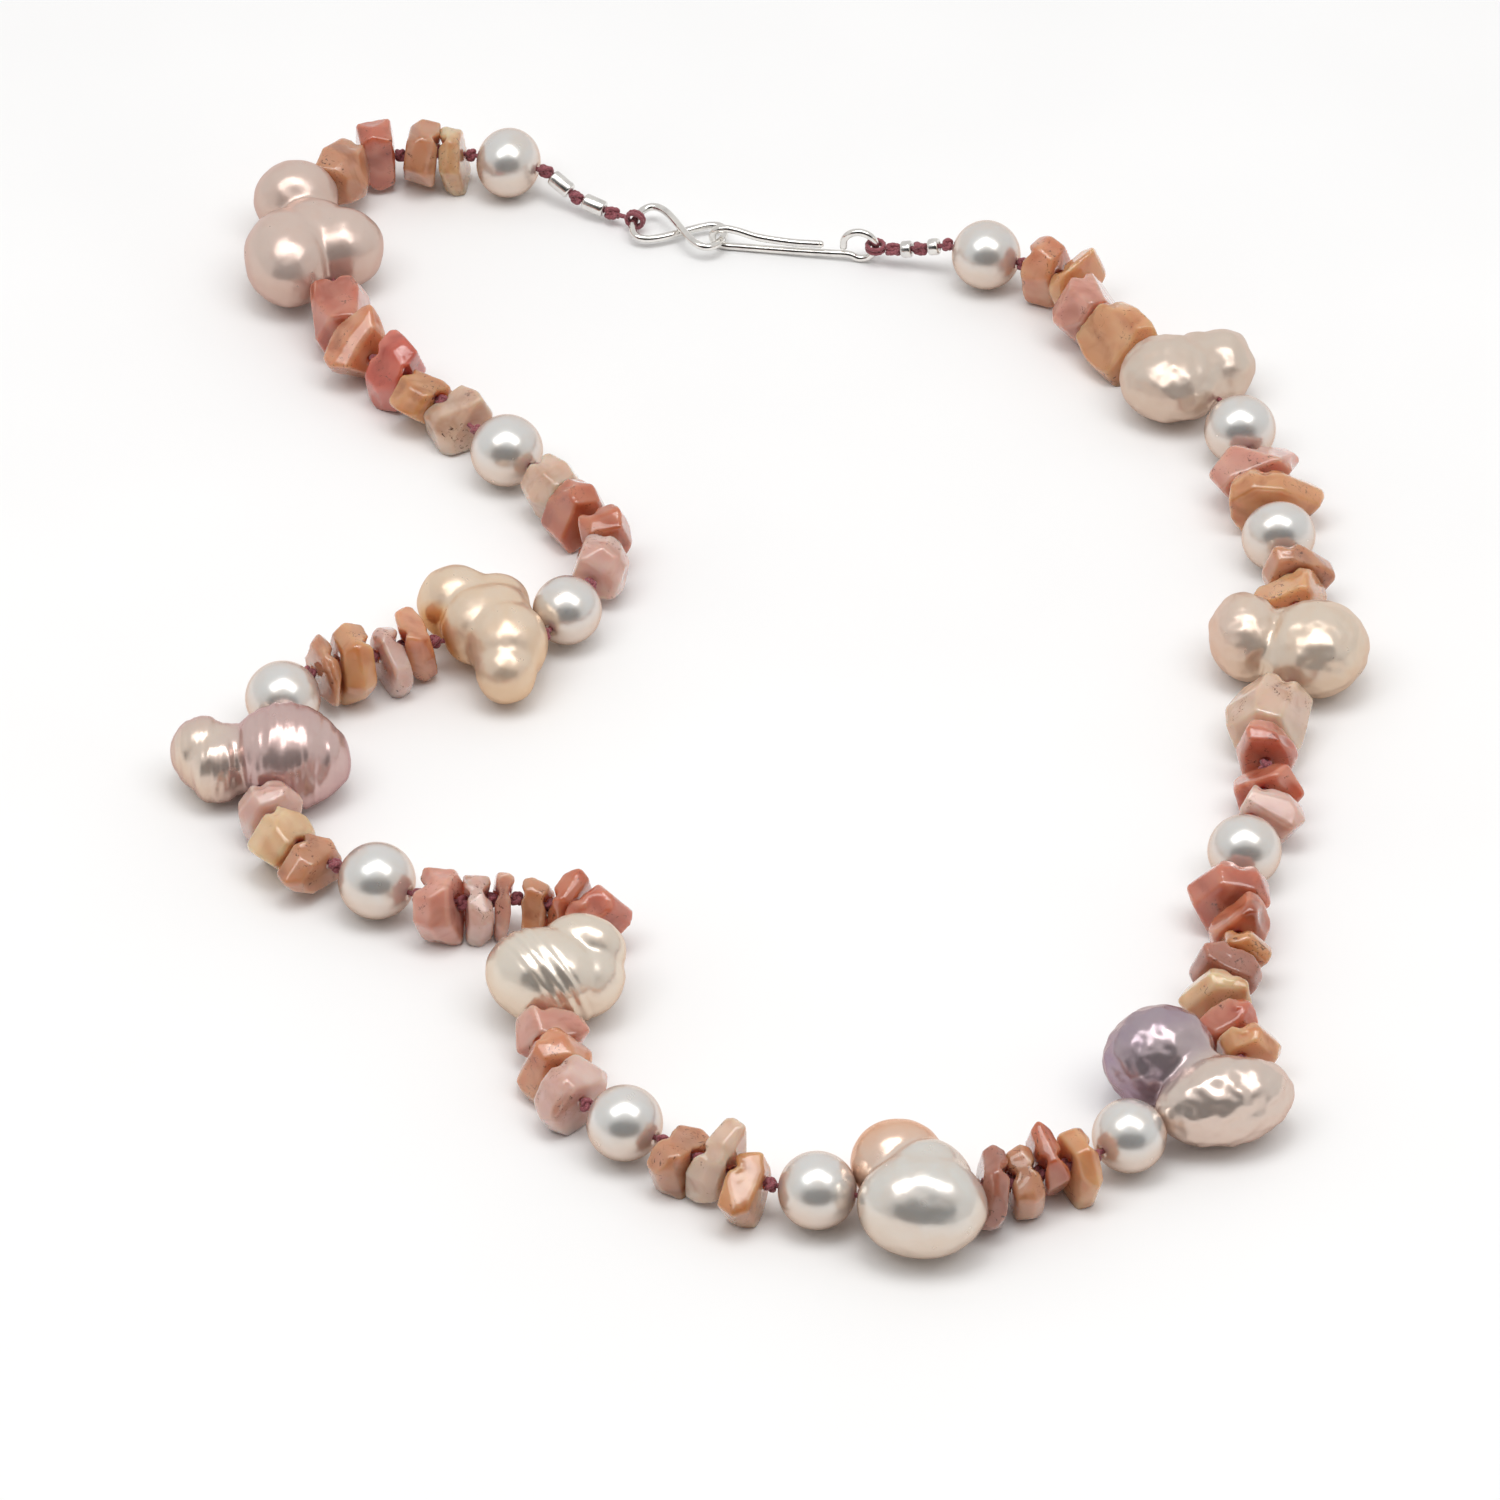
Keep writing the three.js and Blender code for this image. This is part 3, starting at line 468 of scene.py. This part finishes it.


# the round pearls' body colour, and the overtone that is also painted on their sides and underside as a
# warm rim reflection
WHITE_TINTS = [((0.89, 0.885, 0.875), (0.89, 0.79, 0.71))]
PEARL_WHITE = nacre_material("nacre_white", WHITE_TINTS, NACRE_LUSTRE, False)
NACRES = {
    kind: nacre_material(f"nacre_{kind}", spec["tints"], spec["lustre"], True)
    for kind, spec in BAROQUES.items()}
OPAL_MATERIALS = {tone: opal_material(tone) for tone in OPALS}
SILK = silk_material()
SILVER = silver_material("silver_polished", 0.13)
SILVER_TUBE = silver_material("silver_tube", 0.2)


# Building -------------------------------------------------------------------------------------------

def build(name, vertices, faces, material):
    """A mesh object from millimetre points."""
    mesh = bpy.data.meshes.new(name)
    mesh.from_pydata([tuple(Vector(v) * METRES) for v in vertices], [], faces)
    mesh.validate()
    mesh.update()
    mesh.polygons.foreach_set("use_smooth", [True] * len(mesh.polygons))
    mesh.materials.append(material)
    obj = bpy.data.objects.new(name, mesh)
    bpy.context.scene.collection.objects.link(obj)
    return obj


def tumbled(vertices, faces, voxel, passes):
    """The same solid as one even, rounded skin, with its normals: voxel remeshed, then smoothed."""
    mesh = bpy.data.meshes.new("rough")
    mesh.from_pydata([tuple(v) for v in vertices], [], faces)
    obj = bpy.data.objects.new("rough", mesh)
    bpy.context.scene.collection.objects.link(obj)
    remesh = obj.modifiers.new("remesh", "REMESH")
    remesh.mode = "VOXEL"
    remesh.voxel_size = voxel
    soften = obj.modifiers.new("soften", "SMOOTH")
    soften.factor = 0.5
    soften.iterations = passes
    bpy.context.view_layer.update()
    result = obj.evaluated_get(bpy.context.evaluated_depsgraph_get()).to_mesh()
    points = np.empty(len(result.vertices) * 3, np.float32)
    normals = np.empty(len(result.vertices) * 3, np.float32)
    result.vertices.foreach_get("co", points)
    result.vertices.foreach_get("normal", normals)
    polygons = [tuple(p.vertices) for p in result.polygons]
    bpy.data.objects.remove(obj)
    bpy.data.meshes.remove(mesh)
    return points.reshape(-1, 3).astype(float), normals.reshape(-1, 3).astype(float), polygons


def rough_field(points, size_mm, seed, octaves):
    """Smooth noise between about -1 and 1 at each point."""
    offset = Vector((seed * 17.3, seed * 5.1, seed * 9.7))
    return np.array([noise.fractal(Vector(p) / size_mm + offset, 1.0, 2.0, octaves) for p in points])


def swept(path, radius, sides, plies=0, pitch=1.0, closed=False):
    """A tube along a list of points. With plies it is that many strands, twisted once round in a pitch."""
    points = [Vector(p) for p in path]
    count = len(points)
    tangents = []
    for i in range(count):
        before = points[i - 1] if closed or i > 0 else points[i]
        after = points[(i + 1) % count] if closed or i < count - 1 else points[i]
        tangents.append((after - before).normalized())
    side = tangents[0].orthogonal().normalized()
    crosswise = [side]  # across the path at each point, turning as little as it can
    for i in range(1, count):
        turn = tangents[i - 1].rotation_difference(tangents[i])
        side = (turn @ side).normalized()
        side = (side - tangents[i] * side.dot(tangents[i])).normalized()
        crosswise.append(side)
    vertices = []
    travelled = 0.0
    for i in range(count):
        if i:
            travelled += (points[i] - points[i - 1]).length
        other = tangents[i].cross(crosswise[i])
        for k in range(sides):
            angle = 2 * math.pi * k / sides
            reach = radius
            if plies:
                crest = abs(math.sin(plies / 2 * (angle - 2 * math.pi * travelled / pitch)))
                reach = radius * (PLY_FLOOR + PLY_RISE * crest ** PLY_ROUNDNESS)
            across = reach * math.cos(angle)
            up = reach * math.sin(angle)
            vertices.append(points[i] + crosswise[i] * across + other * up)
    faces = []
    for i in range(count if closed else count - 1):
        ring = i * sides
        next_ring = ((i + 1) % count) * sides
        for k in range(sides):
            n = (k + 1) % sides
            faces.append((ring + k, ring + n, next_ring + n, next_ring + k))
    if not closed:
        faces.append(tuple(range(sides - 1, -1, -1)))
        faces.append(tuple(range((count - 1) * sides, count * sides)))
    return vertices, faces


def joined(parts):
    """Several (vertices, faces) as one."""
    vertices = []
    faces = []
    for part_vertices, part_faces in parts:
        start = len(vertices)
        vertices.extend(part_vertices)
        faces.extend(tuple(start + i for i in face) for face in part_faces)
    return vertices, faces


def along(direction):
    """The turn that takes +Y to a direction."""
    return Vector((0, 1, 0)).rotation_difference(direction).to_matrix()


def unit_ball(detail):
    """Vertices and faces of a ball of radius 1."""
    bm = bmesh.new()
    bmesh.ops.create_icosphere(bm, subdivisions=detail, radius=1)
    points = [v.co.copy() for v in bm.verts]
    faces = [tuple(v.index for v in f.verts) for f in bm.faces]
    bm.free()
    return points, faces


BALL = unit_ball(6)
SMALL_BALL = unit_ball(4)


# Beads ----------------------------------------------------------------------------------------------

def round_pearl(name, start, end, length, width, seed):
    """A slightly uneven oval, drawn in a little where it is drilled."""
    turn = along((end - start).normalized())
    middle = (start + end) / 2
    points, faces = BALL
    swell = rough_field(points, PEARL_SWELL_SIZE, seed, 1)
    skin = []
    for point, lump in zip(points, swell):
        off_axis = math.hypot(point.x, point.z) * width / 2
        mouth = max(0.0, 1 - off_axis / MOUTH_RADIUS)
        oval = Vector((point.x * width / 2, point.y * length / 2, point.z * width / 2))
        shape = oval * (1 + PEARL_SWELL * lump)
        shape.y *= 1 - MOUTH_DEPTH * mouth ** 2 * (3 - 2 * mouth)
        skin.append(middle + turn @ shape)
    return build(name, skin, faces, PEARL_WHITE)


def silver_tube(name, start, end):
    """A short tube with an open bore and rounded ends."""
    half = ((end - start).length - TUBE_ROOM) / 2
    turn = along((end - start).normalized())
    middle = (start + end) / 2
    shoulder = TUBE_RADIUS - TUBE_CORNER
    quarter = [i / TUBE_CORNER_STEPS for i in range(TUBE_CORNER_STEPS + 1)]
    profile = [(TUBE_BORE_RADIUS, -half), (TUBE_BORE_RADIUS, half)]
    for share in quarter:
        angle = math.pi / 2 * (1 - share)
        profile.append((
            shoulder + TUBE_CORNER * math.cos(angle), half - TUBE_CORNER + TUBE_CORNER * math.sin(angle)))
    for share in quarter:
        angle = -math.pi / 2 * share
        profile.append((
            shoulder + TUBE_CORNER * math.cos(angle), -half + TUBE_CORNER + TUBE_CORNER * math.sin(angle)))
    count = len(profile)
    vertices = []
    faces = []
    for k in range(TUBE_SIDES):
        angle = 2 * math.pi * k / TUBE_SIDES
        for radius, y in profile:
            vertices.append(middle + turn @ Vector((radius * math.cos(angle), y, radius * math.sin(angle))))
    for k in range(TUBE_SIDES):
        column = k * count
        next_column = ((k + 1) % TUBE_SIDES) * count
        for i in range(count):
            j = (i + 1) % count
            faces.append((column + i, next_column + i, next_column + j, column + j))
    return build(name, vertices, faces, SILVER_TUBE)


def dimple(skin, knots, radius):
    """Hollows a skin round its knots, in place."""
    for knot in knots:
        away = skin - np.array(knot)
        distance = np.linalg.norm(away, axis=1)
        push = np.clip(radius - distance, 0, None)
        skin += away / np.maximum(distance, 1e-6)[:, None] * push[:, None]


def groove(skin, knot, inward):
    """Wears a notch into a chip's end above its knot, in place."""
    away = skin - np.array(knot)
    up = np.array(NOTCH_LEAN)
    climb = np.clip(away @ up, 0, None)
    distance = np.linalg.norm(away - climb[:, None] * up, axis=1)
    push = np.clip(NOTCH_RADIUS - distance, 0, None)
    skin += np.array(inward) * push[:, None]


def baroque_pearl(name, kind, start, end, seed):
    """Lobes grown together: joined, softened into each other, then wrinkled a little."""
    spec = BAROQUES[kind]
    parts = []
    points, faces = SMALL_BALL
    for x, y, z, across, length, high, turn in spec["lobes"]:
        spin = Matrix.Rotation(math.radians(turn), 3, "Z")
        centre = Vector((x, y, max(z, high + TABLE_GAP))) + SHIFT
        lobe = [centre + spin @ Vector((p.x * across, p.y * length, p.z * high)) for p in points]
        parts.append((lobe, faces))
    skin, normals, polygons = tumbled(*joined(parts), BAROQUE_VOXEL, spec["soften"])
    height, spacing = spec["wrinkles"]
    relief = height * rough_field(skin / np.array(spacing), 1.0, seed, 2)
    for point, axis, low, high, pitch, ridge in spec.get("rings", ()):
        travel = (skin - np.array(Vector(point) + SHIFT)) @ np.array(Vector(axis).normalized())
        inside = np.clip((travel - low) / RING_FADE, 0, 1) * np.clip((high - travel) / RING_FADE, 0, 1)
        relief += ridge * inside * np.cos(2 * math.pi * travel / pitch)
    skin = skin + normals * relief[:, None]
    dimple(skin, (start, end), KNOT_REACH + BAROQUE_DIMPLE)
    skin[:, 2] = np.maximum(skin[:, 2], TABLE_GAP / 2)
    return build(name, skin, polygons, NACRES[kind])


def chip_corners(node, start, end, planes):
    """The CAD chip's own corners: those on its side of its knots' planes, and not on its bore."""
    chord = (end - start).normalized()
    corners = []
    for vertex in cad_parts[node].data.vertices:
        point = vertex.co / METRES
        off = point - start
        on_bore = (off - chord * off.dot(chord)).length < CHIP_BORE_REACH
        if not on_bore and all((point - knot).dot(normal) > CHIP_MARGIN for knot, normal in planes):
            corners.append(point)
    return corners


def hull_of(points):
    """The smallest convex solid round the points."""
    bm = bmesh.new()
    for point in points:
        bm.verts.new(point)
    hull = bmesh.ops.convex_hull(bm, input=bm.verts)
    inside = [e for e in hull["geom_interior"] if isinstance(e, bmesh.types.BMVert)]
    bmesh.ops.delete(bm, geom=inside, context="VERTS")
    return bm


def cut_flat(bm, at, normal):
    """The hull of what a plane leaves of a hull."""
    geometry = list(bm.verts) + list(bm.edges) + list(bm.faces)
    bmesh.ops.bisect_plane(bm, geom=geometry, plane_co=at, plane_no=normal, clear_outer=True)
    kept = [v.co.copy() for v in bm.verts]
    bm.free()
    return hull_of(kept)


def chip(name, node, start, end, planes, grows, tone, seed):
    """A tumbled chip: a hull with flats broken off, scooped, rounded, and notched where the knots sit."""
    draw = random.Random(seed)
    points = chip_corners(node, start, end, planes)
    middle = sum(points, Vector()) / len(points)
    chord = (end - start).normalized()
    for point in points:  # fuller than the CAD chip, but not along the silk at a hinge
        reach = (point - middle).dot(chord)
        point += chord * (reach * CHIP_FULLER * grows[reach > 0])
        across = point - middle - chord * (point - middle).dot(chord)
        point += across * CHIP_WIDER
    bm = hull_of(points)
    for _ in range(CHIP_FLATS):
        away = Vector((draw.gauss(0, 1), draw.gauss(0, 1), draw.gauss(0, 1)))
        normal = (away - chord * away.dot(chord) * SIDEWAYS).normalized()
        far = max((v.co - middle).dot(normal) for v in bm.verts)
        depth = max(far * draw.uniform(*CHIP_FLAT_DEPTH), CHIP_LEAST)
        bm = cut_flat(bm, middle + normal * depth, normal)
    bm.verts.index_update()
    vertices = [v.co.copy() for v in bm.verts]
    faces = [tuple(v.index for v in f.verts) for f in bm.faces]
    bm.free()
    skin, _, polygons = tumbled(vertices, faces, CHIP_ROUGH_VOXEL, 1)
    for _ in range(SCOOPS):  # shallow hollows worn into it
        normal = Vector((draw.gauss(0, 1), draw.gauss(0, 1), draw.gauss(0, 1))).normalized()
        far = float(np.max((skin - np.array(middle)) @ np.array(normal)))
        scoop = middle + normal * (far + SCOOP_RADIUS - draw.uniform(*SCOOP_DEPTH))
        dimple(skin, [scoop], SCOOP_RADIUS)
    groove(skin, start, chord)
    groove(skin, end, -chord)
    skin, normals, polygons = tumbled(skin, polygons, CHIP_FINE_VOXEL, 4)
    height, spacing = CHIP_WAVES
    fine_height, fine_spacing = CHIP_FINE_WAVES
    waves = rough_field(skin, spacing, seed, 1)
    fine = rough_field(skin, fine_spacing, seed + 40, 2)
    skin = skin + normals * (CHIP_SWELL + height * waves + fine_height * fine)[:, None]
    dimple(skin, (start, end), KNOT_REACH + CHIP_DIMPLE)
    skin[:, 2] = np.maximum(skin[:, 2], 0.0)
    return build(name, skin, polygons, OPAL_MATERIALS[tone])


# Silk -----------------------------------------------------------------------------------------------

def knot_shape(centre, direction, spin, stretch):
    """A tight overhand knot: one strand that crosses itself three times."""
    turn = along(direction) @ Matrix.Rotation(spin, 3, "Y")
    scale = (KNOT_REACH - KNOT_STRAND) / 3
    steps = 60
    path = []
    for i in range(steps):
        t = 2 * math.pi * i / steps
        local = Vector((
            (math.sin(t) + 2 * math.sin(2 * t)) * scale,
            -math.sin(3 * t) * scale * KNOT_LENGTHEN * stretch,
            (math.cos(t) - 2 * math.cos(2 * t)) * scale))
        path.append(centre + turn @ local)
    return swept(path, KNOT_STRAND, CORD_SIDES, CORD_PLIES, CORD_PITCH, closed=True)


def thread_shape(points):
    """Plied thread, straight between knots, with its ends inside the knots."""
    path = []
    for first, second in zip(points, points[1:]):
        steps = max(2, int((second - first).length / THREAD_STEP))
        path.extend(first.lerp(second, i / steps) for i in range(steps))
    path.append(points[-1])
    return swept(path, THREAD_RADIUS, THREAD_SIDES, THREAD_PLIES, THREAD_PITCH)


def loop_shape(centre, upright):
    """The silk's loop round the clasp's wire: two turns side by side, level or on edge."""
    radius = THREAD_RADIUS * SILK_LOOP_RATIO
    steps = 40
    parts = []
    for aside in (-SILK_LOOP_ASIDE, SILK_LOOP_ASIDE):
        path = []
        for i in range(steps):
            angle = 2 * math.pi * i / steps
            flat = Vector((SILK_LOOP_RADIUS * math.cos(angle), SILK_LOOP_RADIUS * math.sin(angle), aside))
            if upright:
                flat = Matrix.Rotation(LINK_TURN, 3, "Z") @ Vector((flat.x, aside, flat.y))
            path.append(centre + flat)
        parts.append(swept(path, radius, CORD_SIDES, CORD_PLIES, CORD_PITCH, closed=True))
    return joined(parts)


# Clasp ----------------------------------------------------------------------------------------------

def figure_eight_path():
    """The link's wire: a flat eight that rises and dips where it crosses itself."""
    turn = Matrix.Rotation(LINK_TURN, 3, "Z")
    path = []
    for i in range(LINK_STEPS):
        angle = 2 * math.pi * i / LINK_STEPS
        path.append(LINK_CENTRE + SHIFT + turn @ Vector((
            LINK_HALF_LENGTH * math.cos(angle),
            LINK_HALF_WIDTH * math.sin(2 * angle),
            -LINK_CROSSING * math.sin(angle))))
    return path


def smooth_path(points, per_run):
    """A centripetal Catmull-Rom curve through the points."""
    ends = [points[0] * 2 - points[1]] + points + [points[-1] * 2 - points[-2]]
    path = []
    for a, b, c, d in zip(ends, ends[1:], ends[2:], ends[3:]):
        t0, t1 = 0.0, (b - a).length ** 0.5
        t2 = t1 + (c - b).length ** 0.5
        t3 = t2 + (d - c).length ** 0.5
        for i in range(per_run):
            t = t1 + (t2 - t1) * i / per_run
            ab = a.lerp(b, (t - t0) / (t1 - t0))
            bc = b.lerp(c, (t - t1) / (t2 - t1))
            cd = c.lerp(d, (t - t2) / (t3 - t2))
            first = ab.lerp(bc, (t - t0) / (t2 - t0))
            second = bc.lerp(cd, (t - t1) / (t3 - t1))
            path.append(first.lerp(second, (t - t1) / (t2 - t1)))
    path.append(points[-1])
    return path


def hook_path():
    """The hook's wire, standing on edge: from its free end round the bend and along to the ring."""
    turn = Matrix.Rotation(HOOK_TURN, 3, "Z")
    profile = list(HOOK_PROFILE)
    for i in range(HOOK_RING_STEPS + 1):
        angle = math.radians(HOOK_RING_START + HOOK_RING_SPAN * i / HOOK_RING_STEPS)
        profile.append((
            HOOK_RING_CENTRE[0] + HOOK_RING_RADIUS * math.cos(angle),
            HOOK_RING_CENTRE[1] + HOOK_RING_RADIUS * math.sin(angle)))
    lowest = WIRE_RADIUS + TABLE_GAP / 2
    corners = [HOOK_BEND + SHIFT + turn @ Vector((x, 0, max(z, lowest))) for x, z in profile]
    return smooth_path(corners, HOOK_STEPS)


def rounded_wire(name, path):
    """Round wire with its two ends filed to domes."""
    parts = [swept(path, WIRE_RADIUS, WIRE_SIDES)]
    points, faces = SMALL_BALL
    for centre in (path[0], path[-1]):
        parts.append(([centre + p * (WIRE_RADIUS * WIRE_END_RATIO) for p in points], faces))
    return build(name, *joined(parts), SILVER)


LINK_EYE = LINK_CENTRE + SHIFT + Matrix.Rotation(LINK_TURN, 3, "Z") @ Vector((-LINK_HALF_LENGTH, 0, 0))
HOOK_EYE = HOOK_BEND + SHIFT + Matrix.Rotation(HOOK_TURN, 3, "Z") @ Vector(
    (HOOK_RING_CENTRE[0] + HOOK_RING_RADIUS, 0, HOOK_RING_CENTRE[1]))


# Assembly -------------------------------------------------------------------------------------------

def knot_of(row):
    """The knot after a bead, from its row."""
    x, y = row[1:3] if isinstance(row[0], str) else row[:2]
    z = row[3] if row[0] == "silver" else CORD_HEIGHT
    return Vector((x, y, z)) + SHIFT


def rows_of(beads):
    """A section's rows, one after another."""
    return [row for bead in beads for row in (bead if isinstance(bead, list) else [bead])]


ROWS = [row for beads in STRAND for row in rows_of(beads)]
KNOTS = [Vector(FIRST_KNOT) + SHIFT] + [knot_of(row) for row in ROWS]
RUNS = [((b - a) * Vector((1, 1, 0))).normalized() for a, b in zip(KNOTS, KNOTS[1:])]  # level
SECTION_ENDS = [sum(len(rows_of(beads)) for beads in STRAND[:i]) for i in range(len(STRAND) + 1)]
STILL_SECTION = 6  # the front one, which no hinge moves
# Before the first silver tube, after each of them, and before the last pearl.
LONG_KNOTS = {k for k in range(len(KNOTS)) if ROWS[max(k - 1, 0)][0] == "silver"} | {len(ROWS) - 3}


def halving_planes(i):
    """The two planes that a chip keeps between, each facing the chip."""
    first = (RUNS[max(i - 1, 0)] + RUNS[i]).normalized()
    last = (RUNS[i] + RUNS[min(i + 1, len(RUNS) - 1)]).normalized()
    return [(KNOTS[i], first), (KNOTS[i + 1], -last)]


def place(piece, body, node):
    """A piece that stands for a CAD node, which it hides, and moves with its body."""
    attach(piece, body)
    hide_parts(node)


counts = {"pearl": 0, "silver": 0, "chips": 0, "chip": 0}


def next_number(kind):
    """1, 2, 3 and so on for each kind of bead."""
    counts[kind] += 1
    return counts[kind]


def place_chips(rows, at, body):
    """The chips that share a CAD node, from the knot that they start at."""
    node = f"opal_chips_{next_number('chips'):02d}"
    for here, row in enumerate(rows, at):
        number = next_number("chip")
        grows = (here not in SECTION_ENDS, here + 1 not in SECTION_ENDS)
        piece = chip(f"opal_chip_{number:02d}", node, KNOTS[here], KNOTS[here + 1],
                     halving_planes(here), grows, row[2], number)
        place(piece, body, node)


def place_bead(row, at, body):
    """A pearl, a baroque pearl or a silver tube, from the knot before it."""
    start = KNOTS[at]
    end = KNOTS[at + 1]
    if row[0] == "pearl":
        number = next_number("pearl")
        node = f"pearl_{number:02d}"
        place(round_pearl(f"round_{node}", start, end, row[3], row[4], number), f"{node}_bead", node)
    elif row[0] == "silver":
        number = next_number("silver")
        place(silver_tube(f"silver_tube_{number:02d}", start, end), body, f"silver_bead_{number:02d}")
    else:
        node = f"baroque_{row[3]}"
        place(baroque_pearl(f"{node}_pearl", row[3], start, end, at), body, node)


def place_silk(section, body):
    """A section's thread and knots. Where two sections meet, the one nearer the front has the knot."""
    first, last = SECTION_ENDS[section:section + 2]
    owns_first = section <= STILL_SECTION
    owns_last = section >= STILL_SECTION
    owned = range(first if owns_first else first + 1, last + 1 if owns_last else last)
    line = KNOTS[first:last + 1]
    loops = []
    if section == 0:
        line = [LINK_EYE + (line[0] - LINK_EYE).normalized() * SILK_LOOP_RADIUS] + line
        loops.append(loop_shape(LINK_EYE, True))
    if section == len(STRAND) - 1:
        line = line + [HOOK_EYE + (line[-1] - HOOK_EYE).normalized() * SILK_LOOP_RADIUS]
        loops.append(loop_shape(HOOK_EYE, False))
    draw = random.Random(section)
    knots = []
    for k in owned:
        stretch = LONG_KNOT if k in LONG_KNOTS else 1
        knots.append(knot_shape(KNOTS[k], RUNS[min(k, len(RUNS) - 1)], draw.uniform(0, 6.28), stretch))
    silk = build(f"silk_thread_{section + 1:02d}", *joined([thread_shape(line)] + knots + loops), SILK)
    place(silk, body, f"silk_{section + 1:02d}")


for section, beads in enumerate(STRAND):
    strand = f"strand_{section + 1:02d}"
    knot = SECTION_ENDS[section]
    for bead in beads:
        if isinstance(bead, list):
            place_chips(bead, knot, strand)
            knot += len(bead)
        else:
            place_bead(bead, knot, strand)
            knot += 1
    place_silk(section, strand)

link = build("clasp_link_wire", *swept(figure_eight_path(), WIRE_RADIUS, WIRE_SIDES, closed=True), SILVER)
place(link, "link", "figure_eight_link")
place(rounded_wire("clasp_hook_wire", hook_path()), "hook", "clasp_hook")


# Stage, light and camera ----------------------------------------------------------------------------

# Lengths here are metres.
VIEW_DISTANCE = 0.78
VIEW_ELEVATION = math.radians(42)
LENS_MM = 181.6
SENSOR_MM = 36
FARTHEST = 20  # that the camera sees
FLOOR_HALF = 3.0
ROOM_BRIGHTNESS = 0.72
DARK_SIDE = Vector((0, -0.88, 0.42))  # a direction
DARK_SIDE_SQUEEZE = (0.45, 1, 1)  # below 1 is wider
DARK_SIDE_GREYS = [(0.0, 0.02), (0.36, 0.04), (0.54, 0.9), (1.0, 1.0)]  # by distance from its middle
WINDOW_ASIDE = 0.2
WINDOW_FRONT = 0.1
WINDOW_HEIGHT = 0.72
WINDOW_SIZE = (0.3, 0.62)
WINDOW_WATTS = 1.65
AIM = (SHIFT + Vector((0, 0, CORD_HEIGHT))) * METRES


def floor():
    """A plain white table."""
    mesh = bpy.data.meshes.new("floor")
    corners = [(x * FLOOR_HALF, y * FLOOR_HALF, 0) for x, y in ((-1, -1), (1, -1), (1, 1), (-1, 1))]
    mesh.from_pydata(corners, [], [(0, 1, 2, 3)])
    n = Nodes("table_white")
    stops = [(0.3, linear((0.96, 0.96, 0.96))), (0.7, linear((0.97, 0.97, 0.97)))]
    n.link(n.ramp(n.noise(40, 2), stops), n.shader.inputs["Base Color"])
    n.shader.inputs["Roughness"].default_value = 0.85
    mesh.materials.append(n.material)
    obj = bpy.data.objects.new("floor", mesh)
    bpy.context.scene.collection.objects.link(obj)


def window(name, aside):
    """A soft box that faces the necklace."""
    lamp = bpy.data.lights.new(name, "AREA")
    lamp.shape = "RECTANGLE"
    lamp.size, lamp.size_y = WINDOW_SIZE
    lamp.energy = WINDOW_WATTS
    obj = bpy.data.objects.new(name, lamp)
    obj.location = (aside, -WINDOW_FRONT, WINDOW_HEIGHT)
    obj.rotation_euler = (AIM - obj.location).to_track_quat("-Z", "Y").to_euler()
    bpy.context.scene.collection.objects.link(obj)


def surroundings():
    """A white room with one dark side, low in front, that the pearls mirror as a soft grey patch."""
    world = bpy.data.worlds.new("room")
    world.use_nodes = True
    tree = world.node_tree
    place = tree.nodes.new("ShaderNodeTexCoord").outputs["Generated"]
    squeeze = tree.nodes.new("ShaderNodeVectorMath")
    squeeze.operation = "MULTIPLY"
    squeeze.inputs[1].default_value = DARK_SIDE_SQUEEZE
    away = tree.nodes.new("ShaderNodeVectorMath")
    away.operation = "DISTANCE"
    away.inputs[1].default_value = DARK_SIDE
    ramp = tree.nodes.new("ShaderNodeValToRGB")
    elements = ramp.color_ramp.elements
    while len(elements) < len(DARK_SIDE_GREYS):
        elements.new(0.5)
    for element, (position, grey) in zip(elements, DARK_SIDE_GREYS):
        element.position = position
        element.color = (grey, grey * 0.99, grey * 0.98, 1)
    tree.links.new(place, squeeze.inputs[0])
    tree.links.new(squeeze.outputs[0], away.inputs[0])
    tree.links.new(away.outputs["Value"], ramp.inputs["Fac"])
    tree.links.new(ramp.outputs["Color"], tree.nodes["Background"].inputs["Color"])
    tree.nodes["Background"].inputs["Strength"].default_value = ROOM_BRIGHTNESS
    bpy.context.scene.world = world


floor()
surroundings()
window("window_left", -WINDOW_ASIDE)
window("window_right", WINDOW_ASIDE)

camera = bpy.data.cameras.new("camera")
camera.lens = LENS_MM
camera.sensor_width = SENSOR_MM
camera.clip_end = FARTHEST
view = bpy.data.objects.new("camera", camera)
view.location = AIM + Vector((0, -math.cos(VIEW_ELEVATION), math.sin(VIEW_ELEVATION))) * VIEW_DISTANCE
view.rotation_euler = Euler((math.pi / 2 - VIEW_ELEVATION, 0, 0))
bpy.context.scene.collection.objects.link(view)
bpy.context.scene.camera = view
bpy.context.scene.view_settings.view_transform = "Standard"
